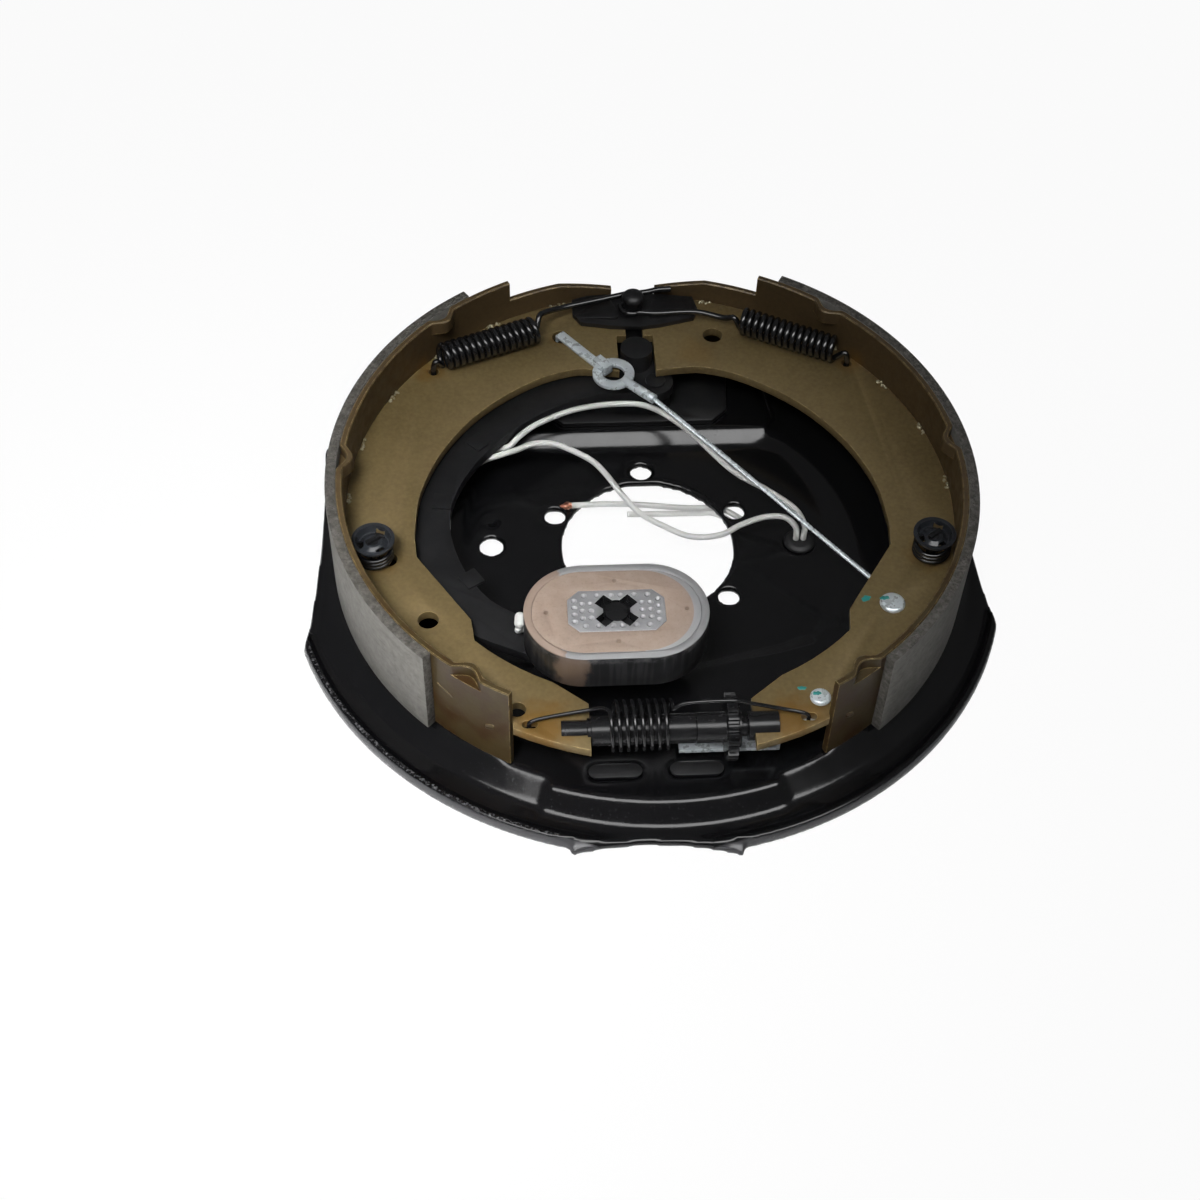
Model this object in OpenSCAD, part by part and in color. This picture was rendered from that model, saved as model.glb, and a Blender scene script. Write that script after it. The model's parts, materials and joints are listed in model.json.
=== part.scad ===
// Electric drum brake for a trailer axle, lying on its backing plate with the open side up.
// The origin is the centre of the spindle hole, on the back face of the hub.

/* [Drum it fits] */
// Inside diameter of the brake drum
drum_d = 304.8; // [300:0.2:310]
// Width of the brake linings
shoe_w = 50.8; // [46:0.2:56]
// Running gap between each lining and the drum
drum_gap = 0.9; // [0.7:0.1:1.2]

/* [Backing plate] */
// Thickness of the pressed sheet
plate_t = 4; // [3.6:0.1:4.4]
// Diameter of the spindle hole
hub_hole_d = 83.4; // [76:0.2:90]
// Diameter of the circle through the flange bolts
bolt_circle_d = 98.4; // [96:0.2:102]
// Diameter of each flange bolt hole
bolt_hole_d = 10.3; // [9:0.1:11]
// Angle of the upper pair of bolt holes above the X axis
bolt_upper_a = 25.5; // [24:0.5:30]
// Distance between the lower pair of bolt holes
bolt_lower_gap = 73; // [68:0.5:78]
// Outside radius of the rolled rim
rim_r = 172.8; // [170:0.2:176]
// Thickness of the rim's upturned lip
lip_t = 4; // [3:0.1:4.5]
// Height of the rim's lip, from the bottom of the plate
lip_h = 8; // [7:0.2:9]
// How far the rim lies below the back of the hub
rim_drop = 5; // [4.6:0.1:5.4]
// Radius of the sunk floor round the hub
floor_r = 91; // [88:0.5:93]
// Distance from the centre to the straight top edge of the sunk floor
floor_top_y = 64; // [62:0.5:66]
// Height of the ring that the shoes stand on above the hub floor
ring_h = 3.2; // [2.8:0.1:3.6]
// Height of the raised bed under the anchor above the hub floor
bed_h = 6; // [5.6:0.1:6.4]
// Width of the slopes between the pressed levels
slope_w = 9; // [7:0.5:10]
// Height of the pads that the shoes rub on
pad_h = 0.8; // [0.5:0.1:1.2]
// Radius of the flat seat that bolts to the axle flange
seat_r = 62; // [60:0.5:66]
// Length of each brake adjusting slot
slot_len = 22.6; // [20:0.2:26]
// Width of each brake adjusting slot
slot_wid = 6; // [5:0.2:8]

/* [Shoes] */
// Thickness of the shoe web
web_t = 4.8; // [4:0.1:5.4]
// Thickness of the curved shoe table
table_t = 3; // [2.4:0.1:3.4]
// Thickness of the linings
lining_t = 4.9; // [4:0.1:6]
// Gap left under the shoes and round sliding parts
slide_gap = 0.3; // [0.2:0.05:0.4]
// Half width of the slot between the two webs
web_slot = 4.4; // [4:0.1:4.8]
// Half width of the notch that takes the actuating block
notch_half = 9.3; // [9:0.1:10]
// Angle where the primary lining ends at the top
primary_top_a = 124.7; // [122:0.1:128]
// Angle where the primary lining ends at the bottom
primary_end_a = 225.5; // [222:0.1:228]
// Angle where the secondary lining ends at the top
secondary_top_a = 60; // [56:0.5:63]
// Angle where the secondary lining ends at the bottom
secondary_end_a = -51; // [-53:0.5:-48]

/* [Anchor] */
// Distance of the anchor post from the centre
anchor_y = 131; // [130:0.5:132]
// Radius of the anchor post between the shoes
anchor_r = 10; // [9:0.1:10.5]
// Radius of the neck that the return springs hook on
neck_r = 4.5; // [4:0.1:5]
// Radius of the post's domed head
head_r = 5.9; // [5.4:0.1:6.5]
// Thickness of the stiffening plate under the anchor
stiffener_t = 3; // [2.5:0.1:3.5]
// Thickness of the shoe guide plate
guide_t = 2.6; // [2:0.1:3]

/* [Springs] */
// Wire radius of the return springs
return_wire_r = 1.5; // [1.2:0.05:1.5]
// Coil radius of the return springs, to the middle of the wire
return_coil_r = 5.8; // [5.4:0.1:6]
// Number of turns in each return spring
return_turns = 15; // [13:1:16]
// Wire radius of the adjuster spring
adjuster_wire_r = 0.9; // [0.7:0.05:1]
// Coil radius of the adjuster spring, to the middle of the wire
adjuster_coil_r = 10.6; // [10.2:0.1:11]
// Number of turns in the adjuster spring
adjuster_turns = 8; // [7:1:9]
// Wire radius of the hold-down springs
hold_wire_r = 1.1; // [0.9:0.05:1.2]
// Coil radius of the hold-down springs, to the middle of the wire
hold_coil_r = 7.8; // [7.4:0.1:8.2]
// Radius of the hold-down pins
hold_pin_r = 2.2; // [1.8:0.1:2.4]
// Outside radius of the hold-down cups
cup_r = 9.8; // [9.4:0.1:10]
// Height of each hold-down cup's rim above the web
cup_z = 14.6; // [14:0.1:15.4]

/* [Adjuster] */
// Distance of the adjuster's axis from the centre
adjuster_y = 130.5; // [130:0.1:131]
// Half the gap between the shoe webs at the adjuster
tip_x = 35.5; // [34.5:0.1:36.5]
// Outside radius of the long nut
nut_r = 6.6; // [6.2:0.1:7]
// Radius of the screw's thread
thread_r = 4.5; // [4:0.1:4.9]
// Running clearance of the screw in its nut and socket
turn_gap = 0.05; // [0.03:0.01:0.08]
// Radius of the star wheel over its teeth
star_r = 14.7; // [14:0.1:15]
// Number of teeth on the star wheel
star_teeth = 24; // [18:1:28]
// Depth of the star wheel's teeth
tooth_h = 2; // [1.4:0.1:2.4]
// Thickness of the star wheel
star_t = 4.6; // [4:0.1:5]
// Radius of the socket that takes the screw's plain end
socket_r = 6.4; // [6:0.1:6.8]

/* [Lever and magnet] */
// Place of the lever's pivot, to the right of the centre line
pivot_x = 9; // [8:0.5:10]
// Place of the lever's pivot, from the centre
pivot_y = 87; // [86:0.5:88]
// Radius of the pivot stud
pivot_r = 5; // [4.5:0.1:5.5]
// Radius of the actuating block
block_r = 8; // [7.6:0.1:8.2]
// Distance of the actuating block from the centre
block_y = 101; // [100:0.5:101.5]
// Thickness of the lever arm
arm_t = 5.5; // [5:0.1:6]
// Width of the lever arm along its bend
arm_w = 22; // [20:0.5:23]
// Length of the magnet
magnet_len = 82; // [78:0.5:84]
// Width of the magnet
magnet_wid = 53; // [50:0.5:55]
// Height of the magnet
magnet_h = 20; // [18:0.5:21]
// Wall of the magnet's steel case
case_wall = 3.6; // [3:0.1:4.2]
// Length of the magnet's core plate
core_len = 43; // [40:0.5:46]
// Width of the magnet's core plate
core_wid = 23; // [21:0.5:25]
// Radius of the post that the magnet slides on
post_r = 4.5; // [4:0.1:5]

/* [Self adjusting cable and leads] */
// Radius of the cable
cable_r = 1.25; // [1:0.05:1.4]
// Outside radius of the cable's ring
ring_r = 10.5; // [10:0.1:11]
// Radius of the hole in the cable's ring
ring_hole_r = 5.6; // [5:0.1:6]
// Thickness of the cable's ring
ring_t = 2; // [1.6:0.1:2.4]
// Width of the strap that holds the ring
strap_w = 5.4; // [5:0.1:6]
// Thickness of the strap
strap_t = 1.4; // [1.2:0.1:1.6]
// Radius of the insulated leads
lead_r = 1.45; // [1.3:0.05:1.5]
// Radius of the rubber grommet's collar
grommet_r = 7.6; // [7.2:0.1:8]

/* [Hidden] */

// Colours
black_paint = [0.05, 0.05, 0.055];
bronze_paint = [0.42, 0.36, 0.22];
zinc = [0.78, 0.8, 0.82];
bright_steel = [0.55, 0.56, 0.57];

// Faces of pieces that merge into the plate lie this far apart, so that none of them coincide
step = 0.02;

// Levels above the back face of the hub
floor_z = plate_t;
ring_z = floor_z + ring_h;
bed_z = floor_z + bed_h;
stiffener_z = bed_z + stiffener_t;
rim_top_z = plate_t - rim_drop;
shoe_z = ring_z + pad_h + slide_gap;
shoe_top_z = shoe_z + shoe_w;
web_z = shoe_z + (shoe_w - web_t) / 2;
web_top_z = web_z + web_t;
guide_z = web_top_z + slide_gap;
guide_top_z = guide_z + guide_t;

// Radii of the shoes
lining_r = drum_d / 2 - drum_gap;
table_r = lining_r - lining_t;
web_r = table_r - table_t;

// Rings of the plate
ring_edge_r = table_r - 0.6;
ring_bulge = 4;
rim_foot_w = 11;
rim_shift = [-1.2, 0.8];
ear_r = 175.5;
seat_relief = 0.3;
pad_in_r = web_r - 3.6;

// Anchor
anchor_seat_r = anchor_r + 0.35;
anchor_spigot_r = 7;
post_tail_r = 9;
head_z = guide_top_z + 7;
head_h = 4;
post_tail_t = 3;

// Hold-downs: places on the primary and secondary shoe
hold_l = [-129.2, -32];
hold_r = [127.5, -38];
cup_top_z = web_top_z + cup_z;
pin_slot_travel = 6;
pin_slot_gap = 2;

// Holes in the webs that the return springs hook into
return_hook_l = [-102.4, 90.6];
return_hook_r = [106, 90];

// Adjuster: its axis lies along X at the middle of the web
adj = [0, -adjuster_y, web_z + web_t / 2];
fork_len = 12.5;
fork_slot = web_t + 2 * slide_gap;
fork_r = 5;
nut_end_x = 10;
star_x = 23;
socket_x = 31.5;
adjuster_spring_x = [-27, 0];

// Lever
block = [0, block_y];
arm_z = web_z - slide_gap - 1.5 - arm_t;
arm_top_z = arm_z + arm_t;
magnet_xy = [-21.5, -80.5];
magnet_z = arm_top_z + 4.5;
magnet_top_z = magnet_z + magnet_h;
clip_z = magnet_top_z - 6.7;

// Rivets on the secondary shoe
guide_rivet = [105.3, -67.2];
pawl_pin = [65.7, -118.6];
rivet_r = 3.2;

// Cable ring
ring_xy = [-12.7, 83];
ring_z0 = guide_z + strap_t + slide_gap;
hook_hole = [-37.5, 113.9];
ferrule_end = [6.4, 64.4];
pawl_t = 2;
pawl_z = web_z - slide_gap - pawl_t;
pawl_low_z = adj[2] - star_r - 5;

// Grommet
grommet = [74, -1];
grommet_top = 2.6;
grommet_foot = rim_drop - 0.05;
lead_top_z = floor_z + grommet_top;

// Middle line of the lever arm, from its pivot round to the magnet
arm_route = [[-20, 88], [-46, 80], [-72, 62], [-95, 34], [-106, 2], [-101, -32], [-84, -60], [-56, -77]];

// Routes of the leads and the cable, hand laid
lead_a_route = [[-64.6, -75, 36.7], [-64.8, -74.4, 34.2], [-62, -71.5, 32], [-56, -66.5, 31.7],
    [-50.5, -61.5, 30], [-49.5, -59.6, 26], [-53, -58.5, 22.2], [-62, -64, 21.5], [-75, -64, 21.5],
    [-86, -51, 21.5], [-96, -30, 21.5], [-100, -5, 21.5], [-97, 22, 21.5], [-85, 44, 21.5],
    [-73, 49.5, 21.6], [-66, 51, 22.3], [-60, 53.5, 25.5], [-51.5, 60, 30], [-33, 65.5, 32.5], [-12, 68, 33], [5, 66, 32], [22, 52, 30],
    [42, 28, 26], [58, 17, 23], [71, 8, 19], [76, 2, 13.5], [75.8, -1, 9.6], [75.8, -1, lead_top_z + step]];
lead_b_route = [[-64.6, -71.2, 36.7], [-64.2, -70.2, 34.4], [-61.6, -66.6, 32], [-55, -60.9, 31.6],
    [-49, -55.5, 29.5], [-47.5, -53, 25.5], [-52, -53.5, 22], [-60.5, -60.3, 21.5], [-72.5, -60, 21.5],
    [-83, -48.6, 21.5], [-92.6, -29, 21.5], [-96.5, -5, 21.5], [-93.6, 20.5, 21.5], [-81.5, 40, 21.5],
    [-70, 46, 21.6], [-62.5, 48, 22.6], [-54.5, 48.6, 26], [-46, 47, 28], [-38, 44, 27.5], [-26, 37, 25.5],
    [-19, 29, 23.5], [-12, 18, 21], [-4, 8, 18.5], [7, 1, 16.5], [20, -5, 15], [34, -5, 15.5], [45, 0, 17],
    [56, 3, 18.5], [66, 4, 17], [71.6, 1.6, 12.8], [72.2, -1, 9], [72.2, -1, lead_top_z + step]];
tail_a_route = [at_z(grommet + pol(grommet_r + step, 160), -3.5), at_z(grommet + pol(grommet_r + 4, 160), -3.5),
    [58, 9, -3.5], [48, 22, -3.5], [38, 29.2, -3.5], [29, 29.8, -3.5], [24, 29.7, -3.3], [16, 29.2, -1.9], [0, 28.2, 1.6],
    [-18, 27, 4.4], [-36, 25, 6.2]];
tail_b_route = [at_z(grommet + pol(grommet_r + step, 195), -3.5), at_z(grommet + pol(grommet_r + 4, 195), -3.5),
    [54, 3, -3.5], [46, 17, -3.5], [36, 25.6, -3.5], [27, 26.3, -3.5], [18, 26.2, -3.3], [8, 26, -2.9],
    [-8, 26, -2.6]];
cable_wrap_r = 9.95;
function on_guide(a) = at_z(guide_rivet + pol(cable_wrap_r, a), 28);
cable_start = ring_xy + (norm(ferrule_end - ring_xy) + 0.3) * unit(ferrule_end - ring_xy);
cable_route = [at_z(cable_start, ring_z0 + 1), [27, 40, 37.5], [63, -2, 32.8], [99, -44, 28.2], on_guide(41),
    on_guide(10), on_guide(-20), on_guide(-47), [95, -90.3, 28], [78, -106, 27.6]];

// A point at radius r and angle a
function pol(r, a) = [r * cos(a), r * sin(a)];
// Points along an arc round c
function arc(r, a0, a1, n, c = [0, 0]) = [for (i = [0:n]) c + pol(r, a0 + (a1 - a0) * i / n)];
function at_z(p, z) = [p[0], p[1], z];

// A smooth curve through the points p, with n steps to each span
function pt(p, i) = i < 0 ? 2 * p[0] - p[1] :
    i >= len(p) ? 2 * p[len(p) - 1] - p[len(p) - 2] : p[i];
function curve_at(a, b, c, d, t) =
    0.5 * ((2 * b) + (c - a) * t + (2 * a - 5 * b + 4 * c - d) * t * t + (3 * b - a - 3 * c + d) * t * t * t);
function smooth(p, n) = concat([for (i = [0:len(p) - 2], k = [0:n - 1])
    curve_at(pt(p, i - 1), p[i], p[i + 1], pt(p, i + 2), k / n)], [p[len(p) - 1]]);

// Unit vector, and the part of v that is square to t
function unit(v) = v / norm(v);
function square_to(v, t) = unit(v - (v * t) * t);
function tangent(p, i) = unit(p[min(i + 1, len(p) - 1)] - p[max(i - 1, 0)]);
// One square vector at each point, carried along without twist
function carried(p) = [for (i = 0, t = tangent(p, 0), u = square_to(abs(t[2]) > 0.9 ? [1, 0, 0] : [0, 0, 1], t);
    i < len(p); i = i + 1, t = i < len(p) ? tangent(p, i) : t, u = square_to(u, t)) u];

// A wire or lead of radius r along the points p
module tube(p, r, sides = 8) {
    u = carried(p);
    rings = [for (i = [0:len(p) - 1], k = [0:sides - 1])
        let (a = 360 * k / sides, v = cross(tangent(p, i), u[i])) p[i] + r * (cos(a) * u[i] + sin(a) * v)];
    last = (len(p) - 1) * sides;
    walls = [for (i = [0:len(p) - 2], k = [0:sides - 1], h = [0, 1])
        let (a = i * sides + k, b = i * sides + (k + 1) % sides)
        h == 0 ? [a, a + sides, b] : [b, a + sides, b + sides]];
    ends = [for (k = [1:sides - 2], h = [0, 1])
        h == 0 ? [0, k, k + 1] : [last, last + k + 1, last + k]];
    polyhedron(points = rings, faces = concat(walls, ends));
}

// Points of a coil from p to q of radius r, whose first turn starts at angle a0 from the up direction
function coil(p, q, r, turns, steps, a0 = 0, up = [0, 0, 1]) =
    let (t = unit(q - p), u = square_to(up, t), v = cross(t, u))
    [for (i = [0:turns * steps]) let (a = a0 + 360 * i / steps)
        p + (q - p) * i / (turns * steps) + r * (cos(a) * u + sin(a) * v)];

// A ring segment of rectangular section between two angles
module sector(r0, r1, z0, z1, a0, a1) {
    rotate([0, 0, a0])
        rotate_extrude(angle = a1 - a0, $fn = 180)
            translate([r0, z0])
                square([r1 - r0, z1 - z0]);
}

module rod(r, x0, x1) {
    translate([x0, 0, 0])
        rotate([0, 90, 0])
            cylinder(r = r, h = x1 - x0, $fn = 48);
}

module stadium(len, wid) {
    for (s = [-1, 1])
        translate([s * (len - wid) / 2, 0])
            circle(d = wid, $fn = 96);
    square([len - wid, wid], center = true);
}

module drill(p, r, z0, z1) {
    translate([p[0], p[1], z0])
        cylinder(r = r, h = z1 - z0, $fn = 64);
}

// Outline of the sunk floor: an arc on both sides, straight above and sloping to a sill below
floor_corner_a = asin(floor_top_y / floor_r);
floor_outline = concat([[-16, -72], [16, -72], [56, -63]], arc(floor_r, -40, floor_corner_a - 5, 14),
    [[floor_r * cos(floor_corner_a) - 7, floor_top_y], [7 - floor_r * cos(floor_corner_a), floor_top_y]],
    arc(floor_r, 185 - floor_corner_a, 220, 14), [[-56, -63]]);

module floor_shape(grow, top) {
    intersection() {
        offset(delta = grow)
            polygon(floor_outline);
        translate([-200, -200])
            square([400, 200 + floor_top_y + top]);
    }
}

module floor_pocket() {
    rise = bed_z + 1 - floor_z;
    hull() {
        translate([0, 0, floor_z])
            linear_extrude(0.01)
                floor_shape(0, 0);
        translate([0, 0, floor_z + rise])
            linear_extrude(0.01)
                floor_shape(slope_w * rise / ring_h, slope_w * rise / bed_h);
    }
}

// The back of the sunk floor
module floor_dish() {
    hull() {
        translate([0, 0, seat_relief])
            linear_extrude(0.01)
                floor_shape(2, 2);
        translate([0, 0, ring_z - plate_t + 0.5])
            linear_extrude(0.01)
                floor_shape(slope_w + 2.5, slope_w);
    }
}

// Raised bed under the anchor
bed_outline = [[-68, 0], [68, 0], [74, 11], [70, 44], [50, 66], [24, 77], [-24, 77], [-50, 66],
    [-70, 44], [-74, 11]];

module bed_block(z0, z1, inset) {
    hull() {
        translate([0, floor_top_y + 2, z0])
            linear_extrude(0.01)
                offset(delta = -inset)
                    polygon(bed_outline);
        translate([0, floor_top_y + 2, z1 - 0.01])
            linear_extrude(0.01)
                offset(delta = -inset - 6)
                    polygon(bed_outline);
    }
}

// Section of the pressed sheet from the middle out to the flat of the rim
module plate_section() {
    foot_r = ring_edge_r + rim_foot_w;
    flat_r = rim_r - lip_t - 4;
    polygon([[0, ring_z - plate_t], [0, ring_z], [ring_edge_r, ring_z], [foot_r, rim_top_z],
        [flat_r, rim_top_z], [flat_r, step - rim_drop], [foot_r - 2, step - rim_drop],
        [ring_edge_r - 2, ring_z - plate_t]]);
}

// Section of the rim with its upturned lip
module rim_section() {
    lip_r = rim_r - lip_t;
    polygon([[lip_r - 9, -rim_drop], [lip_r - 9, rim_top_z - step], [lip_r - 2, rim_top_z - step],
        [lip_r, rim_top_z + 2], [lip_r, lip_h - rim_drop], [rim_r - 0.6, lip_h - rim_drop],
        [rim_r, rim_top_z], [rim_r, 0.8 - rim_drop], [rim_r - 0.8, -rim_drop]]);
}

module bulge_section() {
    edge_r = ring_edge_r + ring_bulge;
    foot_r = edge_r + rim_foot_w - 2;
    polygon([[edge_r - 9, ring_z - step], [edge_r, ring_z - step], [foot_r, rim_top_z - 0.3],
        [foot_r, 2 * step - rim_drop], [foot_r - 2, 2 * step - rim_drop], [edge_r - 2, ring_z - plate_t + 0.1],
        [edge_r - 9, ring_z - plate_t + 0.1]]);
}

// A shallow bite out of the rim between two corners at corner_r
module rim_bite(a, half_a, depth_r, corner_r) {
    chord = corner_r * sin(half_a);
    sag = corner_r * cos(half_a) - depth_r;
    bite_r = (chord * chord + sag * sag) / (2 * sag);
    rotate([0, 0, a])
        translate([depth_r + bite_r, 0, -rim_drop - 1])
            cylinder(r = bite_r, h = lip_h + 2, $fn = 240);
}

// The lip runs down to the flat of the rim on both sides of a bite
module lip_dip(a, low_half, full_half) {
    rotate([0, 0, a])
        translate([rim_r - lip_t - 3, 0, 0])
            rotate([90, 0, 90])
                linear_extrude(20)
                    polygon([[-full_half, lip_h - rim_drop + 0.1], [-low_half, rim_top_z], [low_half, rim_top_z],
                        [full_half, lip_h - rim_drop + 0.1], [full_half, 12], [-full_half, 12]]);
}

slot_places = [[-24, -134], [12, -134]];

module slot_shape(grow) {
    stadium(slot_len + 2 * grow, slot_wid + 2 * grow);
}

module backing_plate() {
    color(black_paint)
        difference() {
            union() {
                rotate_extrude($fn = 240)
                    plate_section();
                translate(rim_shift)
                    rotate_extrude($fn = 240)
                        rim_section();
                for (a = [-92.5, 90])
                    sector(rim_r - 8, ear_r, 3 * step - rim_drop, rim_top_z - 3 * step, a - 12.5, a + 12.5);
                rotate([0, 0, -111])
                    rotate_extrude(angle = 40, $fn = 240)
                        bulge_section();
                floor_dish();
                cylinder(r = seat_r, h = 1, $fn = 180);
                bed_block(floor_z, bed_z, 0);
                for (a = [28, 152, 178, 2, -56, 236])
                    sector(pad_in_r, ring_edge_r - 0.4, ring_z - 1, ring_z + pad_h, a - 4, a + 4);
            }
            floor_pocket();
            drill([0, 0], hub_hole_d / 2, -1, bed_z);
            translate([0, 3, 0])
                bed_block(1, bed_z - plate_t, 4);
            drill([0, anchor_y], post_tail_r + 0.6, -1, bed_z - plate_t);
            for (a = [-92.5, 90]) {
                rim_bite(a, 12.4, 166, ear_r);
                lip_dip(a, 38, 55);
            }
            rim_bite(177.5, 21.5, 159.3, 174);
            rim_bite(2.5, 21.2, 159.3, 171.8);
            for (a = [2.5, 177.5])
                lip_dip(a, 64, 74);
            for (a = [90, bolt_upper_a, 180 - bolt_upper_a])
                drill(pol(bolt_circle_d / 2, a), bolt_hole_d / 2, -1, floor_z + 1);
            for (s = [-1, 1])
                drill([s * bolt_lower_gap / 2, -sqrt(pow(bolt_circle_d / 2, 2) - pow(bolt_lower_gap / 2, 2))],
                    bolt_hole_d / 2, -1, floor_z + 1);
            drill([-76, 2.5], 5.7, -1, floor_z + 1);
            drill([-75.5, 17.7], 3, 2, floor_z + 1);
            drill(grommet, grommet_r - 1.6, -1, floor_z + 1);
            drill([0, anchor_y], anchor_spigot_r + turn_gap, 0, bed_z + 1);
            drill([pivot_x, pivot_y], pivot_r + turn_gap, 0, bed_z + 1);
            for (p = [hold_l, hold_r])
                drill(p, hold_pin_r + slide_gap, ring_z - plate_t - 1, ring_z + 1);
            for (p = slot_places)
                translate([p[0], p[1], ring_z - plate_t - 1])
                    linear_extrude(plate_t + 2)
                        slot_shape(0);
        }
}

module anchor_stiffener() {
    y0 = floor_top_y + slope_w + 2;
    color(black_paint)
        difference() {
            translate([0, 0, bed_z])
                linear_extrude(stiffener_t)
                    polygon([[-38, y0], [38, y0], [46, y0 + 8], [48, y0 + 34], [30, anchor_y + 2],
                        [-30, anchor_y + 2], [-48, y0 + 34], [-46, y0 + 8]]);
            drill([0, anchor_y], anchor_spigot_r + turn_gap, 0, stiffener_z + 1);
            drill([pivot_x, pivot_y], pivot_r + turn_gap, 0, stiffener_z + 1);
        }
}

// The post stands on the stiffener and is riveted over behind the plate
module anchor_post() {
    neck_z = guide_z - 0.1;
    tail_z = bed_z - plate_t - step;
    color(black_paint)
        translate([0, anchor_y, 0])
            rotate_extrude($fn = 64)
                polygon(concat([[0, tail_z - post_tail_t], [post_tail_r, tail_z - post_tail_t],
                    [post_tail_r, tail_z], [anchor_spigot_r, tail_z], [anchor_spigot_r, stiffener_z],
                    [anchor_r, stiffener_z], [anchor_r, neck_z], [neck_r, neck_z], [neck_r, head_z]],
                    [for (i = [0:8]) [head_r * cos(i * 11.25), head_z + head_h * sin(i * 11.25)]]));
}

// Bow-tie plate with a raised crease on each wing and a turned-down front edge
guide_outline = [[-23, 10.4], [-31, 7.6], [-31, -3], [-27, -9.5], [-12, -12.5], [3, -13.5], [14, -12], [31, -7.5],
    [33.5, -1], [31.5, 8], [12, 11], [-14, 11]];

module shoe_guide_plate() {
    color(black_paint)
        translate([0, anchor_y, guide_z])
            difference() {
                union() {
                    linear_extrude(guide_t)
                        polygon(guide_outline);
                    for (s = [-1, 1])
                        hull() {
                            translate([s * 28, -5, guide_t - 0.4])
                                cylinder(r = 1.6, h = 0.7, $fn = 16);
                            translate([s * 10, -6, guide_t - 0.4])
                                cylinder(r = 2.6, h = s < 0 ? 2.2 : 0.8, $fn = 16);
                            translate([s * 12, 5, guide_t - 0.4])
                                cylinder(r = 1.6, h = 0.7, $fn = 16);
                        }
                }
                drill([0, 0], neck_r + 0.5, -1, guide_t + 4);
            }
}

module lead_grommet() {
    color([0.03, 0.03, 0.03])
        translate([grommet[0], grommet[1], 0])
            rotate_extrude($fn = 48)
                polygon([[0, -grommet_foot], [grommet_r - 0.8, -grommet_foot], [grommet_r, 0.8 - grommet_foot],
                    [grommet_r, -0.05], [grommet_r - 1.7, -0.05], [grommet_r - 1.7, floor_z + 0.05],
                    [grommet_r, floor_z + 0.05], [grommet_r, floor_z + 1.2], [grommet_r - 2, lead_top_z],
                    [0, lead_top_z]]);
}

module adjusting_slot_plugs() {
    color([0.09, 0.09, 0.09])
        for (p = slot_places)
            translate([p[0], p[1], 0]) {
                translate([0, 0, ring_z - plate_t - 1])
                    linear_extrude(plate_t + 1.2)
                        slot_shape(-0.1);
                translate([0, 0, ring_z + 0.05])
                    linear_extrude(0.8)
                        slot_shape(0.6);
            }
}

// Outline of a shoe web, for the right-hand shoe
inner_edge = [[notch_half, 88.2], [21, 89.6], [34, 89.5], [54, 81.6], [78.5, 62.7], [97, 38], [108.5, 9.5],
    [111.4, -17.4]];
table_end_a = -61.5;
web_outline = concat([[web_slot, 113.7], [notch_half, 113.7]], smooth(inner_edge, 4),
    [[110.3, -31], [85.7, -69], [84.4, -80.5]], arc(116.8, -43.8, -64.4, 5),
    [[tip_x, -117.5], [tip_x, -142]], arc(web_r + 2.8, -74.8, table_end_a - 0.6, 4),
    arc(web_r - 0.05, table_end_a, 86, 48), [[web_slot, web_r - 1.2]]);

module web_blank() {
    difference() {
        translate([0, 0, web_z])
            linear_extrude(web_t)
                polygon(web_outline);
        drill([0, anchor_y], anchor_seat_r, web_z - 1, web_top_z + 1);
    }
}

module web_hole(p, r) {
    drill(p, r, web_z - 1, web_top_z + 1);
}

// The slot lets the shoe move out past its hold-down pin as the adjuster takes up wear
module pin_slot(p) {
    slot_r = hold_pin_r + pin_slot_gap;
    for (x = [-1.5, pin_slot_travel])
        web_hole([p[0] + x, p[1]], slot_r);
    translate([p[0] - 1.5, p[1] - slot_r, web_z - 1])
        cube([pin_slot_travel + 1.5, 2 * slot_r, web_t + 2]);
}

module spring_slot(p) {
    translate([p[0], p[1], web_z - 1])
        linear_extrude(web_t + 2)
            stadium(7, 4);
}

module primary_web() {
    color(bronze_paint)
        difference() {
            mirror([1, 0, 0])
                web_blank();
            web_hole(hook_hole, 4.6);
            web_hole(return_hook_l, 2.6);
            web_hole([-104.9, -68.5], 4.8);
            web_hole([-66.4, -119.5], 3.8);
            pin_slot(hold_l);
            spring_slot([-61.2, -127.6]);
        }
}

module secondary_web() {
    color(bronze_paint)
        difference() {
            web_blank();
            web_hole([40, 112.7], 5);
            web_hole(return_hook_r, 2.6);
            web_hole(guide_rivet, rivet_r + turn_gap);
            web_hole(pawl_pin, rivet_r + turn_gap);
            web_hole(hold_r, hold_pin_r + pin_slot_gap);
            spring_slot([59.6, -128.2]);
        }
}

// The table is full height down to a step near the anchor, then low and sloping to its end
table_step_z = shoe_z + 39.7;

module shoe_table(end_a) {
    step_a = 64;
    slope_a = 75;
    slope_len = table_r * sin(end_a - slope_a) + 1;
    difference() {
        sector(web_r, table_r, shoe_z, shoe_top_z, table_end_a, end_a);
        sector(web_r - 3, table_r + 3, table_step_z, shoe_top_z + 1, step_a, end_a + 3);
        rotate([0, 0, slope_a])
            translate([web_r - 8, 0, 0])
                rotate([90, 0, 90])
                    linear_extrude(table_t + 16)
                        polygon([[0, table_step_z], [slope_len, table_step_z - 6.5], [slope_len + 9, table_step_z - 6.5],
                            [slope_len + 9, table_step_z + 5], [0, table_step_z + 5]]);
    }
}

module primary_table() {
    color(bronze_paint)
        mirror([1, 0, 0])
            shoe_table(85.9);
}

module secondary_table() {
    color(bronze_paint)
        shoe_table(85.2);
}

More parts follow.
